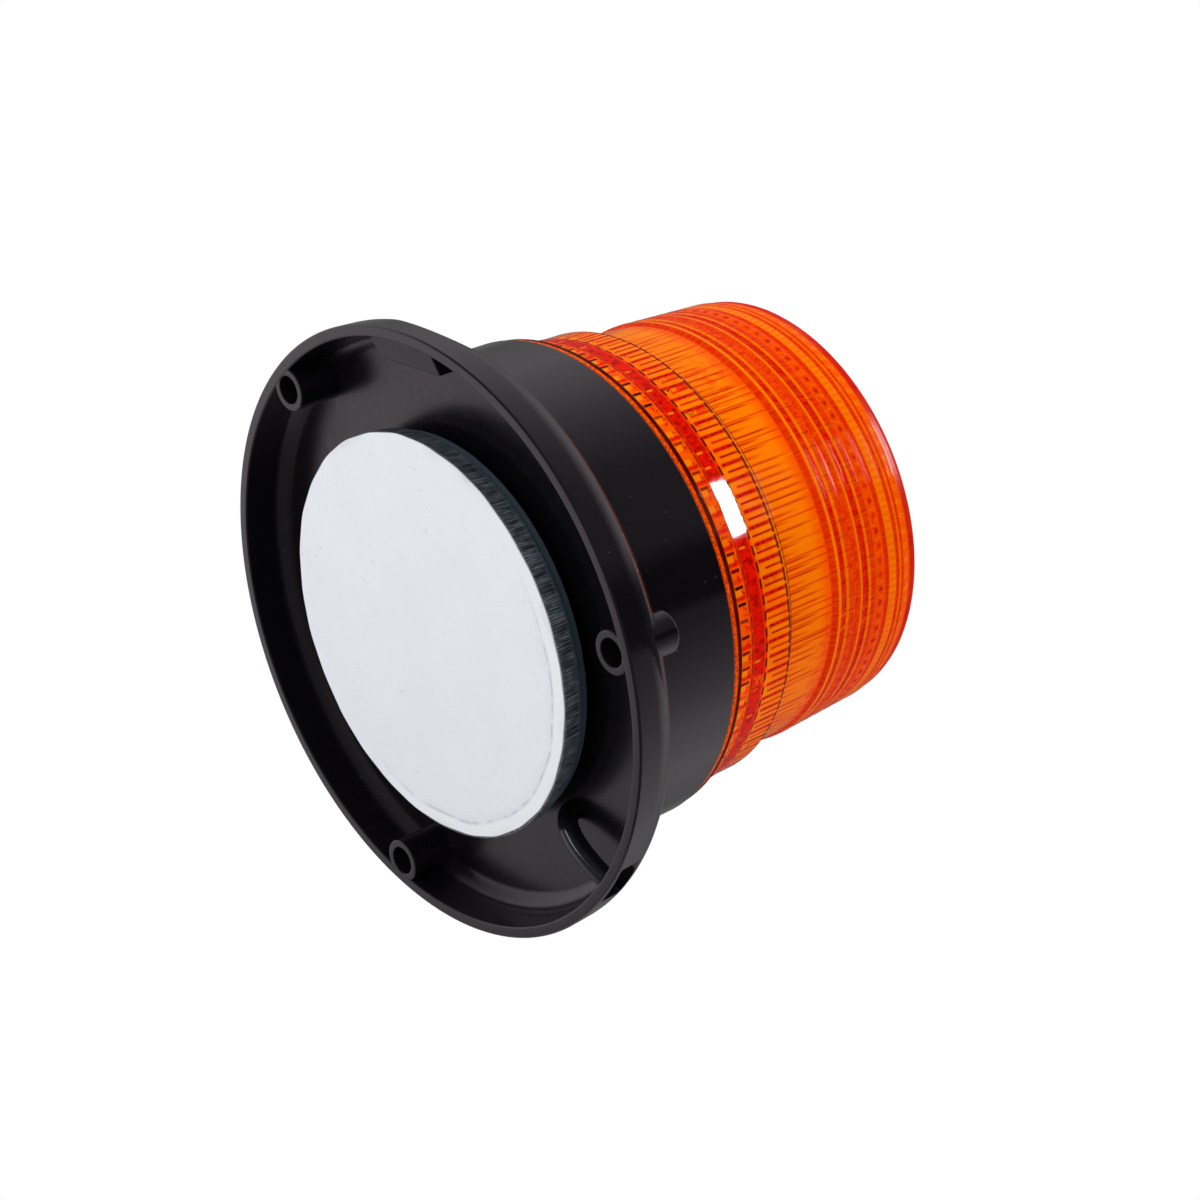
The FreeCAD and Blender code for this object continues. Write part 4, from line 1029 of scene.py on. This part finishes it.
studio = dict(
    floorSize=1.7, floorColour=(0.86, 0.86, 0.86), floorRoughness=0.9,
    ambient=0.80,
    # what glossy surfaces see: dim in front, bright from beside the object, dimmer straight behind it
    roomRise=(-0.15, 0.35, 0.12, 0.52), roomFall=(0.6, 0.9, 1.0, 0.35),
    # dark flag to the right: lower and upper edge with their softness, then how far right and how strong
    flagLow=(-0.05, 0.03), flagHigh=(0.31, 0.09, 1, 0), flagRight=(0.75, 0.1, 0, 0.88),
    roomLeft=(-0.44, -0.26, 0.6, 1.45), leftEdge=(-0.6, 0.1),      # on the left, dimmer low down
    aim=(0, 0, 0.05),
    lamps=(
        # name, way and long side in the photograph's axes (right, up, towards the viewer), distance,
        # length, width, power, the one piece that mirrors it
        ("stripSoftbox", (0.8937, 0.412, 0.1776), (0.41, -0.91, 0.05), 1.1, 0.40, 0.06, 36.0, "amberLens"),
        ("fillSoftbox", (-0.55, 0.45, 0.70), (1, 0, 0), 1.3, 0.6, 0.6, 6, None),
        ("sleeveSoftbox", (-0.88, 0.42, 0.215), (0.32, 0.87, -0.37), 1.3, 0.7, 0.12, 2, "cableSleeve"),
        ("topSoftbox", (0.10, 0.95, -0.25), (1, 0, 0), 1.2, 0.7, 0.5, 8, None),
        ("sideSoftbox", (0.88, 0.05, 0.45), (0, 1, 0), 1.2, 0.6, 0.5, 4, None),
    ),
)


# the floor is clear from below and leaves no trace on the object
def layFloor():
    bm = bmesh.new()
    bmesh.ops.create_grid(bm, x_segments=1, y_segments=1, size=studio["floorSize"] / 2)
    mesh = bpy.data.meshes.new("floor")
    bm.to_mesh(mesh)
    bm.free()
    floor = bpy.data.objects.new("floor", mesh)
    scene.collection.objects.link(floor)
    material, shader, net = newMaterial("floorPaint")
    setInputs(shader, Base_Color=(*studio["floorColour"], 1), Roughness=studio["floorRoughness"])
    choose = net.add("ShaderNodeMixShader")
    net.join(net.add("ShaderNodeNewGeometry").outputs["Backfacing"], choose.inputs[0])
    net.join(shader.outputs["BSDF"], choose.inputs[1])
    net.join(net.add("ShaderNodeBsdfTransparent").outputs["BSDF"], choose.inputs[2])
    net.join(choose.outputs["Shader"], material.node_tree.get_output_node("ALL").inputs["Surface"])
    mesh.materials.append(material)
    floor.visible_diffuse = False
    floor.visible_glossy = False
    floor.visible_transmission = False
    floor.visible_shadow = False


# the backdrop is white to the camera and through the lens, and a room to glossy surfaces
def lightWorld():
    world = bpy.data.worlds.new("studioWorld")
    world.use_nodes = True
    world.node_tree.nodes.clear()
    net = NodeNet(world.node_tree)
    path = net.add("ShaderNodeLightPath").outputs
    sky = net.add("ShaderNodeTexCoord").outputs["Generated"]

    def towards(axis):
        facing = net.add("ShaderNodeVectorMath", operation="DOT_PRODUCT")
        net.join(sky, facing.inputs[0])
        facing.inputs[1].default_value = axis
        return facing.outputs["Value"]

    behind, above, beside = towards(-backWay), towards(upWay), towards(rightWay)
    flag = net.times(net.rise(above, *studio["flagLow"]), net.rise(above, *studio["flagHigh"]),
                     net.rise(beside, *studio["flagRight"]))
    left = net.mixValue(net.rise(beside, *studio["leftEdge"]), net.remap(above, *studio["roomLeft"]), 1)
    room = net.times(net.remap(behind, *studio["roomRise"]), net.remap(behind, *studio["roomFall"]),
                     net.calc("SUBTRACT", 1, flag), left)
    around = net.mixValue(path["Is Glossy Ray"], studio["ambient"], room)
    seen = net.calc("MAXIMUM", path["Is Camera Ray"], path["Is Transmission Ray"])
    light = net.add("ShaderNodeBackground")
    setInputs(light, Color=(1, 1, 1, 1))
    net.join(net.mixValue(seen, around, 1), light.inputs["Strength"])
    net.join(light.outputs["Background"], net.add("ShaderNodeOutputWorld").inputs["Surface"])
    scene.world = world


def hangLamps():
    for name, way, longSide, distance, length, width, power, mirror in studio["lamps"]:
        lamp = bpy.data.lights.new(name, "AREA")
        lamp.shape = "RECTANGLE"
        lamp.size, lamp.size_y = length, width
        lamp.energy = power
        holder = bpy.data.objects.new(name, lamp)
        holder.visible_glossy = mirror is not None
        if mirror:
            holder.visible_diffuse = False
            shown = bpy.data.collections.new(name + "Mirror")
            shown.objects.link(bpy.data.objects[mirror])
            holder.light_linking.receiver_collection = shown
        aim, run = (rightWay * v[0] + upWay * v[1] + backWay * v[2] for v in (way, longSide))
        aim.normalize()
        across = aim.cross(run).normalized()
        turn = Matrix((across.cross(aim), across, aim)).transposed().to_4x4()
        holder.matrix_world = Matrix.Translation(Vector(studio["aim"]) + aim * distance) @ turn
        scene.collection.objects.link(holder)


layFloor()
lightWorld()
hangLamps()
print("stage built")
